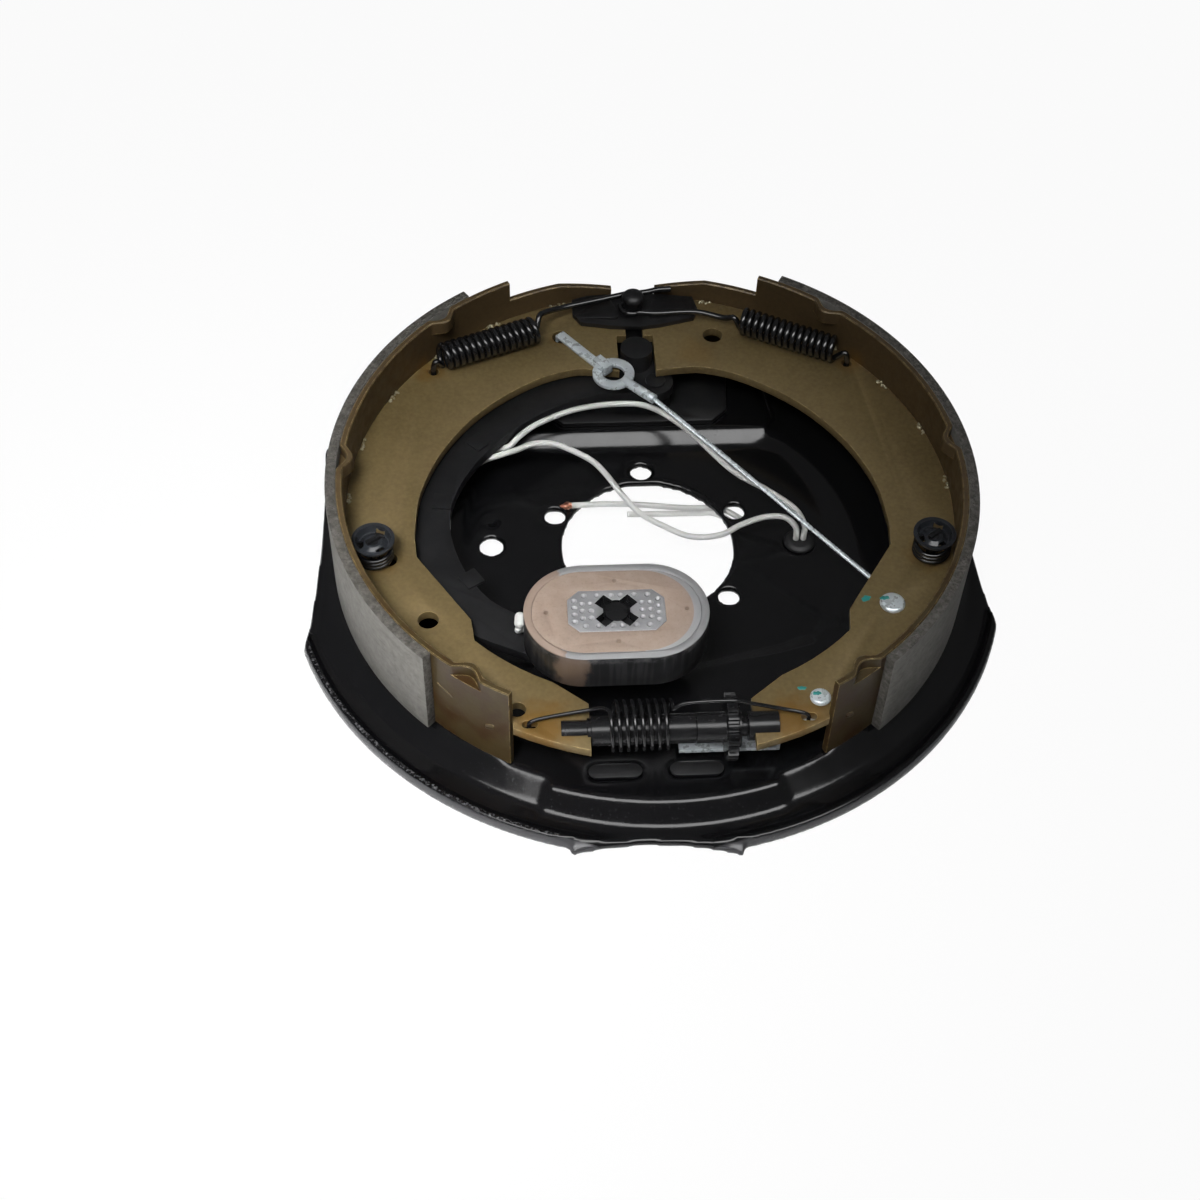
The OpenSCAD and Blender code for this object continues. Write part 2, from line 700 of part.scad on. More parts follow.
module primary_lining() {
    color([0.5, 0.5, 0.48])
        sector(table_r, lining_r, shoe_z, shoe_top_z, primary_top_a, primary_end_a);
}

module secondary_lining() {
    color([0.5, 0.5, 0.48])
        sector(table_r, lining_r, shoe_z, shoe_top_z, secondary_end_a, secondary_top_a);
}

// Wire from the web hook, through the coil, to the neck of the anchor post
spring_z = web_top_z + return_coil_r + return_wire_r + slide_gap;

module return_spring(hook, coil_from, coil_to, post_route) {
    p = at_z(coil_from, spring_z);
    q = at_z(coil_to, spring_z);
    t = unit(q - p);
    hook_pts = [at_z(hook, web_z + 1.5), at_z(hook, web_top_z + 2), at_z(hook, spring_z - 1.4) + 1.6 * t];
    tube(concat(hook_pts, coil(p, q, return_coil_r, return_turns, 12, 180), post_route), return_wire_r, 6);
}

neck_out = neck_r + return_wire_r + 0.3;
wire_low_z = guide_top_z + return_wire_r + 0.6;
wire_high_z = wire_low_z + 2 * return_wire_r + 0.1;

module primary_return_spring() {
    color(black_paint)
        return_spring(return_hook_l, [-98, 93], [-51, 111.5],
            concat([[-48.6, 116.5, spring_z + 4.4], [-45.5, 120.5, spring_z + 3.4], [-37, 126.5, wire_high_z + 0.3],
                [-22, 131, wire_high_z]],
                [for (a = [125:-20:65]) at_z([0, anchor_y] + pol(neck_out, a), wire_high_z)],
                [[8, 137.6, wire_high_z], [13, 139, wire_high_z], [20, 139.6, wire_high_z]]));
}

module secondary_return_spring() {
    color(black_paint)
        return_spring(return_hook_r, [99.5, 91.9], [54.5, 115],
            concat([[51, 117, spring_z], [46, 120, wire_low_z], [32, 125, wire_low_z], [12, 124.6, wire_low_z]],
                [for (a = [-60:-25:-200]) at_z([0, anchor_y] + pol(neck_out, a), wire_low_z)]));
}

// Pin head behind the plate, shank through the shoe, flattened tail in the cup
module hold_down_pin(p) {
    head_top = ring_z - plate_t;
    translate([p[0], p[1], 0]) {
        translate([0, 0, head_top - 1.6])
            cylinder(r = 4.6, h = 1.58, $fn = 32);
        translate([0, 0, head_top - 0.1])
            cylinder(r = hold_pin_r, h = cup_top_z - head_top - 1.4, $fn = 32);
        rotate([0, 0, 35])
            translate([-3.6, -1, cup_top_z - 1.65])
                cube([7.2, 2, 2]);
    }
}

module hold_down_spring(p) {
    z0 = web_top_z + hold_wire_r + slide_gap;
    z1 = cup_top_z - 4.6 - hold_wire_r;
    tube(coil(at_z(p, z0), at_z(p, z1), hold_coil_r, 3.5, 14, 0, [1, 0, 0]), hold_wire_r, 6);
}

// Cup with a rolled rim, a domed middle and three windows
module hold_down_cup(p) {
    t = 1.1;
    z0 = cup_top_z - 4.4;
    translate([p[0], p[1], 0])
        difference() {
            rotate_extrude($fn = 64)
                polygon([[hold_pin_r + 0.15, z0 + 1.6], [3.4, z0 + 1.6], [6.2, z0], [7.6, z0], [cup_r - t, cup_top_z - t],
                    [cup_r, cup_top_z - t], [cup_r, cup_top_z], [cup_r - t - 0.6, cup_top_z], [7, z0 + t],
                    [6.4, z0 + t], [3.8, z0 + 1.6 + t], [hold_pin_r + 0.15, z0 + 1.6 + t]]);
            for (a = [0, 120, 240])
                rotate([0, 0, a + 65])
                    translate([4.6, -2.2, z0 - 1])
                        cube([3.4, 4.4, 4]);
        }
}

module primary_hold_down_pin() {
    color(black_paint)
        hold_down_pin(hold_l);
}

module primary_hold_down_spring() {
    color(black_paint)
        hold_down_spring(hold_l);
}

module primary_hold_down_cup() {
    color(black_paint)
        hold_down_cup(hold_l);
}

module secondary_hold_down_pin() {
    color(black_paint)
        hold_down_pin(hold_r);
}

module secondary_hold_down_spring() {
    color(black_paint)
        hold_down_spring(hold_r);
}

module secondary_hold_down_cup() {
    color(black_paint)
        hold_down_cup(hold_r);
}

module fork_cut(x0, x1) {
    translate([x0, -nut_r - 2, -fork_slot / 2])
        cube([x1 - x0, 2 * nut_r + 4, fork_slot]);
}

// Long nut with a forked end for the primary shoe
module adjuster_nut() {
    root_x = -tip_x + slide_gap;
    color(black_paint)
        translate(adj)
            difference() {
                union() {
                    rod(nut_r, root_x, nut_end_x);
                    rod(nut_r - 0.8, root_x - 1.6, root_x + 1);
                    rod(fork_r, -tip_x - fork_len, root_x + 1);
                }
                rod(thread_r + turn_gap, root_x + 4, nut_end_x + 1);
                fork_cut(-tip_x - fork_len - 1, root_x);
            }
}

module star_wheel() {
    root_r = star_r - tooth_h;
    step = 360 / star_teeth;
    rotate([0, 90, 0])
        linear_extrude(star_t)
            polygon([for (i = [0:star_teeth - 1], k = [0:3])
                pol(k == 0 || k == 3 ? root_r : star_r, step * (i + [0.06, 0.2, 0.62, 0.68][k]))]);
}

// Thread, rough shoulder, star wheel, neck and plain end, all one turned piece
module star_wheel_screw() {
    color(black_paint)
        translate(adj) {
            rod(thread_r, -tip_x + 8, nut_end_x + 1);
            rod(nut_r + 0.2, nut_end_x + slide_gap, star_x + 0.5);
            translate([star_x, 0, 0])
                star_wheel();
            rod(thread_r, star_x + 1, socket_x + 1);
            rod(thread_r - 1, star_x + 1, tip_x - 1.6);
        }
}

module thrust_washer() {
    color(zinc)
        translate(adj)
            difference() {
                rod(9, star_x + star_t + 0.6, star_x + star_t + 1.8);
                rod(thread_r + 0.15, star_x, socket_x);
            }
}

module adjuster_socket() {
    root_x = tip_x - slide_gap;
    color(black_paint)
        translate(adj)
            difference() {
                rod(socket_r, socket_x + 1.3, tip_x + 10.5);
                rod(thread_r - 1 + turn_gap, socket_x, root_x);
                fork_cut(root_x, tip_x + 12);
            }
}

module adjuster_spring() {
    c = adj + [0, 1.5, 1.3];
    p = c + [adjuster_spring_x[0], 0, 0];
    q = c + [adjuster_spring_x[1], 0, 0];
    top = adj[2] + star_r + adjuster_wire_r + 0.7;
    left_end = [[-61.2, -127.6, web_z + 1.6], [-61.2, -127.4, web_top_z + 1.2], [-54, -125.6, web_top_z + 1.9],
        [-36, -124.6, 41], [-30, -126, 44]];
    right_end = [[4, -128, 48], [12, -128.6, top], [26, -128.8, top + 0.3], [33, -127.6, 46.5],
        [48, -126.6, web_top_z + 4], [58.4, -127.6, web_top_z + 1.2], [59.6, -128.2, web_z + 1.6]];
    color(black_paint)
        tube(concat(left_end, coil(p, q, adjuster_coil_r, adjuster_turns, 14), right_end), adjuster_wire_r, 6);
}

// Stud with a collar that carries the lever arm
module lever_pivot_stud() {
    color(black_paint)
        translate([pivot_x, pivot_y, 0]) {
            translate([0, 0, bed_z - plate_t - 2])
                cylinder(r = pivot_r + 2, h = 1.95, $fn = 48);
            translate([0, 0, bed_z - plate_t - 1])
                cylinder(r = pivot_r, h = arm_top_z + 1.2 - bed_z + plate_t + 1, $fn = 48);
            translate([0, 0, stiffener_z + 0.05])
                cylinder(r = pivot_r + 3, h = arm_z - slide_gap - stiffener_z - 0.05, $fn = 48);
        }
}

// Flat bent arm: an eye at the pivot, a broad bend round the hub, and a pad under the magnet
arm_line = smooth(arm_route, 4);

function side_of(p, i) = let (t = tangent(p, i)) [-t[1], t[0]];

module arm_plan() {
    n = len(arm_line) - 1;
    half = [for (i = [0:n]) arm_w / 2 - 2 * pow(abs(2 * i / n - 1), 3)];
    polygon(concat([for (i = [0:n]) arm_line[i] + half[i] * side_of(arm_line, i)],
        [for (i = [n:-1:0]) arm_line[i] - half[i] * side_of(arm_line, i)]));
    hull() {
        translate([pivot_x, pivot_y])
            circle(r = pivot_r + 4, $fn = 32);
        translate(arm_line[0])
            circle(r = half[0], $fn = 32);
    }
    hull() {
        translate([pivot_x, pivot_y])
            circle(r = pivot_r + 4, $fn = 32);
        translate(block)
            circle(r = block_r, $fn = 32);
    }
    hull() {
        translate(magnet_xy)
            circle(r = 13, $fn = 32);
        translate(arm_line[n])
            circle(r = half[n], $fn = 32);
    }
}

// Small folded tabs on the arm's inner edge that keep the leads under it
tab_places = [[-80.5, 46.5, -45], [-98, 8, -8], [-85, -40, 32]];

module lever_arm() {
    color(black_paint)
        difference() {
            union() {
                translate([0, 0, arm_z])
                    linear_extrude(arm_t)
                        arm_plan();
                translate([block[0], block[1], arm_z])
                    cylinder(r = block_r, h = guide_z - 1 + 4.4 - arm_z, $fn = 64);
                translate([magnet_xy[0], magnet_xy[1], arm_z])
                    cylinder(r = post_r, h = clip_z - arm_z - 0.2, $fn = 48);
                for (t = tab_places)
                    translate([t[0], t[1], arm_top_z - 0.2])
                        rotate([0, 0, t[2]])
                            translate([-5, -4.5, 0])
                                cube([9, 9, 1.4]);
            }
            drill([pivot_x, pivot_y], pivot_r + turn_gap, arm_z - 1, arm_top_z + 1);
        }
}

module at_magnet(z) {
    translate([magnet_xy[0], magnet_xy[1], z])
        children();
}

// Corners of the core plate are cut off at a slant
module core_outline(grow) {
    l = core_len / 2 + grow;
    w = core_wid / 2 + grow;
    c = 5;
    polygon([[-l, c - w], [c - l, -w], [l - c, -w], [l, c - w], [l, w - c], [l - c, w], [c - l, w], [-l, w - c]]);
}

module magnet_case() {
    floor_t = 3;
    color(bright_steel)
        at_magnet(magnet_z)
            difference() {
                linear_extrude(magnet_h)
                    stadium(magnet_len, magnet_wid);
                translate([0, 0, floor_t])
                    linear_extrude(magnet_h)
                        stadium(magnet_len - 2 * case_wall, magnet_wid - 2 * case_wall);
                drill([0, 0], post_r + 1.5, -1, floor_t + 1);
            }
}

coil_h = 9;

module magnet_coil() {
    color([0.72, 0.4, 0.22])
        at_magnet(magnet_z + 3.05)
            linear_extrude(coil_h)
                difference() {
                    stadium(magnet_len - 2 * case_wall - 0.4, magnet_wid - 2 * case_wall - 0.4);
                    core_outline(0.2);
                }
}

module magnet_potting() {
    potting_z = 3.1 + coil_h;
    color([0.62, 0.5, 0.42])
        at_magnet(magnet_z + potting_z)
            difference() {
                linear_extrude(magnet_h - potting_z - 0.2)
                    difference() {
                        stadium(magnet_len - 2 * case_wall - 0.2, magnet_wid - 2 * case_wall - 0.2);
                        core_outline(0.1);
                    }
                for (a = [0:90:270])
                    drill([(a % 180 == 0 ? 31 : 0) * cos(a), 17 * sin(a)], 1, 5, magnet_h);
            }
}

// Arms of the X-shaped recess that the clip sits in
module clip_cross(len, wid) {
    for (a = [42, -42])
        rotate([0, 0, a])
            square([len, wid], center = true);
}

module magnet_core_plate() {
    recess_z = clip_z - magnet_z - 0.3;
    color([0.6, 0.6, 0.61])
        at_magnet(magnet_z + 3.05)
            difference() {
                linear_extrude(magnet_h - 3.05)
                    core_outline(0);
                drill([0, 0], post_r + 1.5, -1, magnet_h);
                translate([0, 0, recess_z - 3.05])
                    linear_extrude(magnet_h)
                        clip_cross(20, 6.4);
            }
}

// Bow-tie spring clip on the end of the lever's post
module magnet_retaining_clip() {
    color([0.08, 0.08, 0.085])
        at_magnet(clip_z) {
            linear_extrude(1.5)
                clip_cross(18.4, 4.6);
            translate([0, 0, 1.4])
                linear_extrude(4)
                    rotate([0, 0, 42])
                        square([8, 4.2], center = true);
        }
}

module magnet_spring() {
    wire = 0.7;
    p = at_z(magnet_xy, arm_top_z + wire + 0.2);
    q = at_z(magnet_xy, magnet_z - wire - 0.2);
    color(black_paint)
        tube(coil(p, q, post_r + 3.5, 2, 14, 0, [1, 0, 0]), wire, 6);
}

module magnet_lead_boot() {
    y = magnet_xy[1] + 7.5;
    end_x = magnet_xy[0] - (magnet_len - magnet_wid) / 2 - sqrt(pow(magnet_wid / 2, 2) - 7.5 * 7.5);
    color([0.9, 0.88, 0.84])
        hull() {
            translate([end_x - 2.52, y + 1.2, magnet_z + 6.4])
                sphere(r = 2.3, $fn = 16);
            translate([end_x - 2.8, y - 1.6, magnet_z + 5.6])
                sphere(r = 2.3, $fn = 16);
        }
}

module magnet_lead_a() {
    color("white")
        tube(smooth(lead_a_route, 3), lead_r);
}

module magnet_lead_b() {
    color("white")
        tube(smooth(lead_b_route, 3), lead_r);
}

// Flat strap hooked into the primary web and folded round the cable's ring
module cable_strap() {
    d = ring_xy - hook_hole;
    reach = norm(d) - ring_hole_r + 2.2;
    fold_z = ring_z0 + ring_t + slide_gap - guide_z;
    color(zinc)
        translate([hook_hole[0], hook_hole[1], guide_z])
            rotate([0, 0, atan2(d[1], d[0])]) {
                translate([-1.5, -strap_w / 2, 0])
                    cube([reach + 1.5, strap_w, strap_t]);
                translate([-1.5, -strap_w / 2, 2 - web_t])
                    cube([strap_t, strap_w, web_t - 1]);
                translate([reach - strap_t, -strap_w / 2, 0])
                    cube([strap_t, strap_w, fold_z + strap_t]);
                translate([reach - 9.5, -strap_w / 2, fold_z])
                    cube([9.5, strap_w, strap_t]);
            }
}

// Stamped ring with its crimped ferrule
module cable_eye() {
    d = ferrule_end - ring_xy;
    len = norm(d);
    color(zinc)
        translate([ring_xy[0], ring_xy[1], ring_z0])
            difference() {
                union() {
                    cylinder(r = ring_r, h = ring_t, $fn = 64);
                    rotate([0, 0, atan2(d[1], d[0])])
                        translate([0, 0, ring_t / 2])
                            rod(2.4, ring_r - 3.4, len);
                }
                translate([0, 0, -3])
                    cylinder(r = ring_hole_r, h = ring_t + 6, $fn = 64);
            }
}

module adjuster_cable() {
    color([0.8, 0.82, 0.84])
        tube(smooth(cable_route, 4), cable_r);
}

// Grooved guide under the secondary web that turns the cable towards the pawl
module cable_guide() {
    guide_r = 10.6;
    z1 = web_z - 0.05;
    color(bright_steel)
        translate([guide_rivet[0], guide_rivet[1], 0])
            difference() {
                rotate_extrude($fn = 64)
                    polygon([[0, z1 - 6.6], [guide_r + 2, z1 - 6.6], [guide_r + 2, z1 - 5.9],
                        [guide_r - 2, z1 - 4.9], [guide_r - 2, z1 - 1.6], [guide_r + 2, z1 - 0.7],
                        [guide_r + 2, z1], [0, z1]]);
                drill([0, 0], rivet_r + turn_gap, z1 - 8, z1 + 1);
            }
}

module rivet(p, head, under_z) {
    color(zinc)
        translate([p[0], p[1], 0])
            rotate_extrude($fn = 48)
                polygon([[0, under_z - 1.6], [rivet_r + 1.6, under_z - 1.6], [rivet_r + 1.6, under_z],
                    [rivet_r, under_z], [rivet_r, web_top_z + 0.05], [head, web_top_z + 0.05],
                    [head, web_top_z + 1], [head - 1, web_top_z + 2], [0, web_top_z + 2]]);
}

module cable_guide_rivet() {
    rivet(guide_rivet, 5.8, web_z - 6.8);
}

module pawl_rivet() {
    rivet(pawl_pin, 4.6, pawl_z - 0.2);
}

// Pressed lever: a plate under the web, a step down, and a toe under the star wheel
module pawl_lever() {
    step_x = tip_x + 11;
    toe_top = adj[2] - star_r - 0.4;
    color(zinc)
        difference() {
            union() {
                translate([0, 0, pawl_z])
                    linear_extrude(pawl_t)
                        polygon([[step_x, -130], [step_x, -118], [56, -110], [68, -106], [76, -111], [73, -120],
                            [64, -129]]);
                translate([step_x, -130, pawl_low_z])
                    cube([pawl_t, 12, pawl_z + pawl_t - pawl_low_z]);
                translate([4, -130, pawl_low_z])
                    cube([step_x + pawl_t - 4, 12, pawl_t]);
                translate([star_x + 1, -129, pawl_low_z])
                    cube([star_t - 1.6, 4, toe_top - pawl_low_z]);
                translate([72, -112, pawl_z - 3.6])
                    cube([4, 5, 4]);
            }
            drill(pawl_pin, rivet_r + turn_gap, pawl_z - 1, pawl_z + pawl_t + 1);
        }
}

module tail_lead_a() {
    color("white")
        tube(smooth(tail_a_route, 4), lead_r);
}

// Twisted bare strands at the end of the first tail
module tail_lead_a_strands() {
    p = tail_a_route[len(tail_a_route) - 1];
    color([0.72, 0.42, 0.26])
        tube([p + [-0.4, -0.04, 0.04], p + [-1.8, -0.2, 0.18], p + [-4, -0.8, 0], p + [-6.4, -1.4, -0.3]], 1.1);
}

module tail_lead_b() {
    color("white")
        tube(smooth(tail_b_route, 4), lead_r);
}

backing_plate();
anchor_stiffener();
anchor_post();
shoe_guide_plate();
lead_grommet();
adjusting_slot_plugs();
primary_web();
primary_table();
primary_lining();
secondary_web();
secondary_table();
secondary_lining();
primary_return_spring();
secondary_return_spring();
primary_hold_down_pin();
primary_hold_down_spring();
primary_hold_down_cup();
secondary_hold_down_pin();
secondary_hold_down_spring();
secondary_hold_down_cup();
adjuster_nut();
star_wheel_screw();
thrust_washer();
adjuster_socket();
adjuster_spring();
lever_pivot_stud();
lever_arm();
magnet_case();
magnet_coil();
magnet_potting();
magnet_core_plate();
magnet_retaining_clip();
magnet_spring();
magnet_lead_boot();
magnet_lead_a();
magnet_lead_b();
cable_strap();
cable_eye();
adjuster_cable();
cable_guide();
cable_guide_rivet();
pawl_lever();
pawl_rivet();
tail_lead_a();
tail_lead_a_strands();
tail_lead_b();
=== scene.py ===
"""Looks of an electric drum trailer brake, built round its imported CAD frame."""

import json
from math import cos, hypot, pi, radians, sin, sqrt, tau

import bmesh
import bpy
from mathutils import Matrix, Vector


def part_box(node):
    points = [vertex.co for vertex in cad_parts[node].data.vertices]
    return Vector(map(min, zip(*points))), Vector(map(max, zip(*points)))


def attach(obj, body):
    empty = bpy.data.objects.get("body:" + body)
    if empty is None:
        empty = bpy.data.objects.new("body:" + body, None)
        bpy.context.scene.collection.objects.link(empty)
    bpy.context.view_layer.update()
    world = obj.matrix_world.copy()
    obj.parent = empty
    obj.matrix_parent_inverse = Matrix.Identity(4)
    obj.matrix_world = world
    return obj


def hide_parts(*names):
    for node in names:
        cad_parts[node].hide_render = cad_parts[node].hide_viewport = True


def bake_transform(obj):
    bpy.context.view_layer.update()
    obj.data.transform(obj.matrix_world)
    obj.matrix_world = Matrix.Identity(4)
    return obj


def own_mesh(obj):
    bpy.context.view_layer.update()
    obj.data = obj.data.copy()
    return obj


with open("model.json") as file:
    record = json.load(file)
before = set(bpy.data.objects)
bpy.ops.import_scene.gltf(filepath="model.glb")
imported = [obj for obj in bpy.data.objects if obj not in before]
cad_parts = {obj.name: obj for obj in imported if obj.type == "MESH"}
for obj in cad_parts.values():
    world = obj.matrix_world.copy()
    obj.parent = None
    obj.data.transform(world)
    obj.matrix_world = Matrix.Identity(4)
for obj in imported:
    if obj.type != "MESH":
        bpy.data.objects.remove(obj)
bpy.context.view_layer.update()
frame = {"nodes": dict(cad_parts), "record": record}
MM = 0.001
record = frame["record"]
BODY_OF = {node: body for body, nodes in record["behaviour"]["bodies"].items() for node in nodes}


# Camera

# Angles in degrees, one point in the frame and as the camera has it in millimetres, and a focal length
# in pixels of the picture
CAMERA_TURN, CAMERA_TILT, CAMERA_ROLL = -4.65, 50.79, 1.90
SIGHT_POINT, SIGHT_FROM_CAMERA = (0, 0, 4), (23.26, 26.91, -922.28)
FOCAL_LENGTH, PICTURE_WIDTH, SENSOR_WIDTH = 1894.48, 1200, 36


def set_camera():
    turn, tilt, roll = (radians(angle) for angle in (CAMERA_TURN, CAMERA_TILT, CAMERA_ROLL))
    back = Vector((sin(turn) * cos(tilt), -cos(turn) * cos(tilt), sin(tilt)))
    right = Vector((cos(turn), sin(turn), 0))
    up = back.cross(right)
    rolled = Matrix(((cos(roll), sin(roll), 0), (-sin(roll), cos(roll), 0), (0, 0, 1)))
    axes = rolled @ Matrix((right, up, back))
    place = Vector(SIGHT_POINT) - axes.transposed() @ Vector(SIGHT_FROM_CAMERA)
    data = bpy.data.cameras.new("camera")
    data.sensor_width = SENSOR_WIDTH
    data.lens = SENSOR_WIDTH * FOCAL_LENGTH / PICTURE_WIDTH
    camera = bpy.data.objects.new("camera", data)
    bpy.context.scene.collection.objects.link(camera)
    camera.matrix_world = Matrix.Translation(place * MM) @ axes.transposed().to_4x4()
    bpy.context.scene.camera = camera


set_camera()


# Mesh tools

SMOOTH_ANGLE, EDGE_ANGLE = 38, 32


def link(name, mesh):
    obj = bpy.data.objects.new(name, mesh)
    bpy.context.scene.collection.objects.link(obj)
    return obj


def apply_modifiers(obj):
    """Turns an object's modifiers into plain mesh."""
    seen = bpy.context.evaluated_depsgraph_get()
    mesh = bpy.data.meshes.new_from_object(obj.evaluated_get(seen))
    old = obj.data
    obj.modifiers.clear()
    obj.data = mesh
    mesh.name = obj.name
    bpy.data.meshes.remove(old)
    return obj


def soften(mesh, angle):
    mesh.shade_smooth()
    mesh.set_sharp_from_angle(angle=radians(angle))


def smooth_line(points, steps):
    """A smooth curve through points, with a few steps to each span."""
    points = [Vector(p) for p in points]
    ends = [2 * points[0] - points[1]] + points + [2 * points[-1] - points[-2]]
    line = []
    for a, b, c, d in zip(ends, ends[1:], ends[2:], ends[3:]):
        for k in range(steps):
            t = k / steps
            line.append(0.5 * (2 * b + (c - a) * t + (2 * a - 5 * b + 4 * c - d) * t * t
                               + (3 * b - a - 3 * c + d) * t ** 3))
    return line + [points[-1]]


def winding(start, end, radius, turns, steps, first=0.0, up=(0, 0, 1)):
    """Points of a coil from start to end, whose first turn starts at an angle from up."""
    start, end = Vector(start), Vector(end)
    axis = (end - start).normalized()
    u = Vector(up)
    u = (u - u.dot(axis) * axis).normalized()
    v = axis.cross(u)
    count = int(round(turns * steps))
    line = []
    for i in range(count + 1):
        turn = radians(first) + tau * i / steps
        line.append(start + (end - start) * i / count + radius * (cos(turn) * u + sin(turn) * v))
    return line


def point_round(centre, radius, angle, z):
    """The point at a radius, and an angle in degrees, round an upright axis."""
    turn = radians(angle)
    return centre[0] + radius * cos(turn), centre[1] + radius * sin(turn), z


def carried_axes(line):
    """Two directions square to the line at each point, carried along it without twist."""
    last = len(line) - 1
    tangents = [(line[min(i + 1, last)] - line[max(i - 1, 0)]).normalized() for i in range(last + 1)]
    u = tangents[0].orthogonal().normalized()
    axes = []
    for tangent in tangents:
        u = (u - u.dot(tangent) * tangent).normalized()
        axes.append((u, tangent.cross(u)))
    return axes


def skin(bm, rings, capped=True):
    """Faces from each ring of vertices to the next, and over both ends."""
    for low, high in zip(rings, rings[1:]):
        for k in range(len(low)):
            after = (k + 1) % len(low)
            bm.faces.new((low[k], low[after], high[after], high[k]))
    if capped:
        bm.faces.new(list(reversed(rings[0])))
        bm.faces.new(rings[-1])


def sweep_into(bm, line, radius, sides):
    """Adds a closed tube along line, in millimetres, to bm."""
    turns = [tau * k / sides for k in range(sides)]
    skin(bm, [[bm.verts.new((p + radius * (cos(a) * u + sin(a) * v)) * MM) for a in turns]
              for p, (u, v) in zip(line, carried_axes(line))])


def mesh_from(name, bm):
    mesh = bpy.data.meshes.new(name)
    bm.to_mesh(mesh)
    bm.free()
    return mesh


def mesh_piece(name, bm, angle=SMOOTH_ANGLE):
    bmesh.ops.recalc_face_normals(bm, faces=bm.faces)
    mesh = mesh_from(name, bm)
    soften(mesh, angle)
    return link(name, mesh)


def wire(name, line, radius, sides=12):
    bm = bmesh.new()
    sweep_into(bm, line, radius, sides)
    return mesh_piece(name, bm, 60)


def merged_copy(node, name):
    """A copy of a CAD node's mesh with its triangles joined back to whole faces."""
    bm = bmesh.new()
    bm.from_mesh(frame["nodes"][node].data)
    bmesh.ops.remove_doubles(bm, verts=bm.verts, dist=2e-6)
    bmesh.ops.dissolve_limit(bm, angle_limit=radians(0.4), verts=bm.verts, edges=bm.edges)
    mesh = mesh_from(name, bm)
    if "custom_normal" in mesh.attributes:
        mesh.attributes.remove(mesh.attributes["custom_normal"])
    mesh.materials.clear()
    return link(name, mesh)


def break_edges(obj, width, angle):
    """Rounds the edges that are sharper than an angle, by a width in millimetres."""
    bevel = obj.modifiers.new("edges", "BEVEL")
    bevel.width = width * MM
    bevel.segments = 2
    bevel.limit_method = "ANGLE"
    bevel.angle_limit = radians(angle)
    bevel.use_clamp_overlap = True
    apply_modifiers(obj)


def rounded_copy(node, name, edge):
    """A copy of a CAD node with its sharp edges broken by a small radius."""
    obj = merged_copy(node, name)
    break_edges(obj, edge, EDGE_ANGLE)
    soften(obj.data, 30)
    return obj


def paint(obj, material):
    obj.data.materials.clear()
    obj.data.materials.append(material)
    for face in obj.data.polygons:
        face.material_index = 0


def stand_for(obj, node, material):
    """The piece rides where the CAD node does and is shown in its place."""
    paint(obj, material)
    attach(obj, BODY_OF[node])
    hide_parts(node)


def ride_on(obj, body, material):
    paint(obj, material)
    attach(obj, body)


# Shader nodes


def add(tree, kind, inputs=None, **settings):
    """A shader node with its settings, and inputs set to a value or joined to a socket."""
    node = tree.nodes.new(kind)
    for key, value in settings.items():
        setattr(node, key, value)
    for key, value in (inputs or {}).items():
        socket = node.inputs[key]
        if isinstance(value, bpy.types.NodeSocket):
            tree.links.new(value, socket)
        else:
            socket.default_value = value
    return node


def sum_of(tree, kind, *values, clamp=False):
    """What a Math node makes of one to three values or sockets."""
    node = add(tree, "ShaderNodeMath", dict(enumerate(values)), operation=kind, use_clamp=clamp)
    return node.outputs["Value"]


def spread_of(tree, value, low, high, to_low=0.0, to_high=1.0, **settings):
    """A value moved from the range low to high onto another range, and held inside it."""
    node = add(tree, "ShaderNodeMapRange", {"Value": value, "From Min": low, "From Max": high,
                                            "To Min": to_low, "To Max": to_high}, **settings)
    return node.outputs["Result"]


def noise_of(tree, place, scale, detail, roughness=0.5):
    node = add(tree, "ShaderNodeTexNoise", {"Vector": place, "Scale": scale, "Detail": detail,
                                            "Roughness": roughness})
    return node.outputs["Fac"]


def object_place(tree):
    return add(tree, "ShaderNodeTexCoord").outputs["Object"]


def split_of(tree, vector):
    return add(tree, "ShaderNodeSeparateXYZ", {"Vector": vector}).outputs


def measure_of(tree, kind, *vectors):
    """The DOT_PRODUCT, DISTANCE or LENGTH of vectors."""
    return add(tree, "ShaderNodeVectorMath", dict(enumerate(vectors)), operation=kind).outputs["Value"]


def flat_of(tree, at):
    """The place at no height over or under another."""
    return add(tree, "ShaderNodeCombineXYZ", {"X": at["X"], "Y": at["Y"]}).outputs["Vector"]


def group(name, inputs, outputs):
    """A shader node group, with its inputs' plain values by label, and outputs that are numbers."""
    tree = bpy.data.node_groups.new(name, "ShaderNodeTree")
    for label, value in inputs.items():
        kind = "NodeSocketVector" if isinstance(value, tuple) else "NodeSocketFloat"
        tree.interface.new_socket(label, in_out="INPUT", socket_type=kind).default_value = value
    for label in outputs:
        tree.interface.new_socket(label, in_out="OUTPUT", socket_type="NodeSocketFloat")
    return tree, tree.nodes.new("NodeGroupInput").outputs, tree.nodes.new("NodeGroupOutput").inputs


def make_grain():
    """A value between Low and High that changes in soft patches."""
    tree, given, out = group("grain", {"Scale": 100.0, "Detail": 4.0, "Low": 0.0, "High": 1.0}, ["Value"])
    noise = noise_of(tree, object_place(tree), given["Scale"], given["Detail"], 0.62)
    tree.links.new(spread_of(tree, noise, 0.32, 0.68, given["Low"], given["High"]), out["Value"])
    return tree


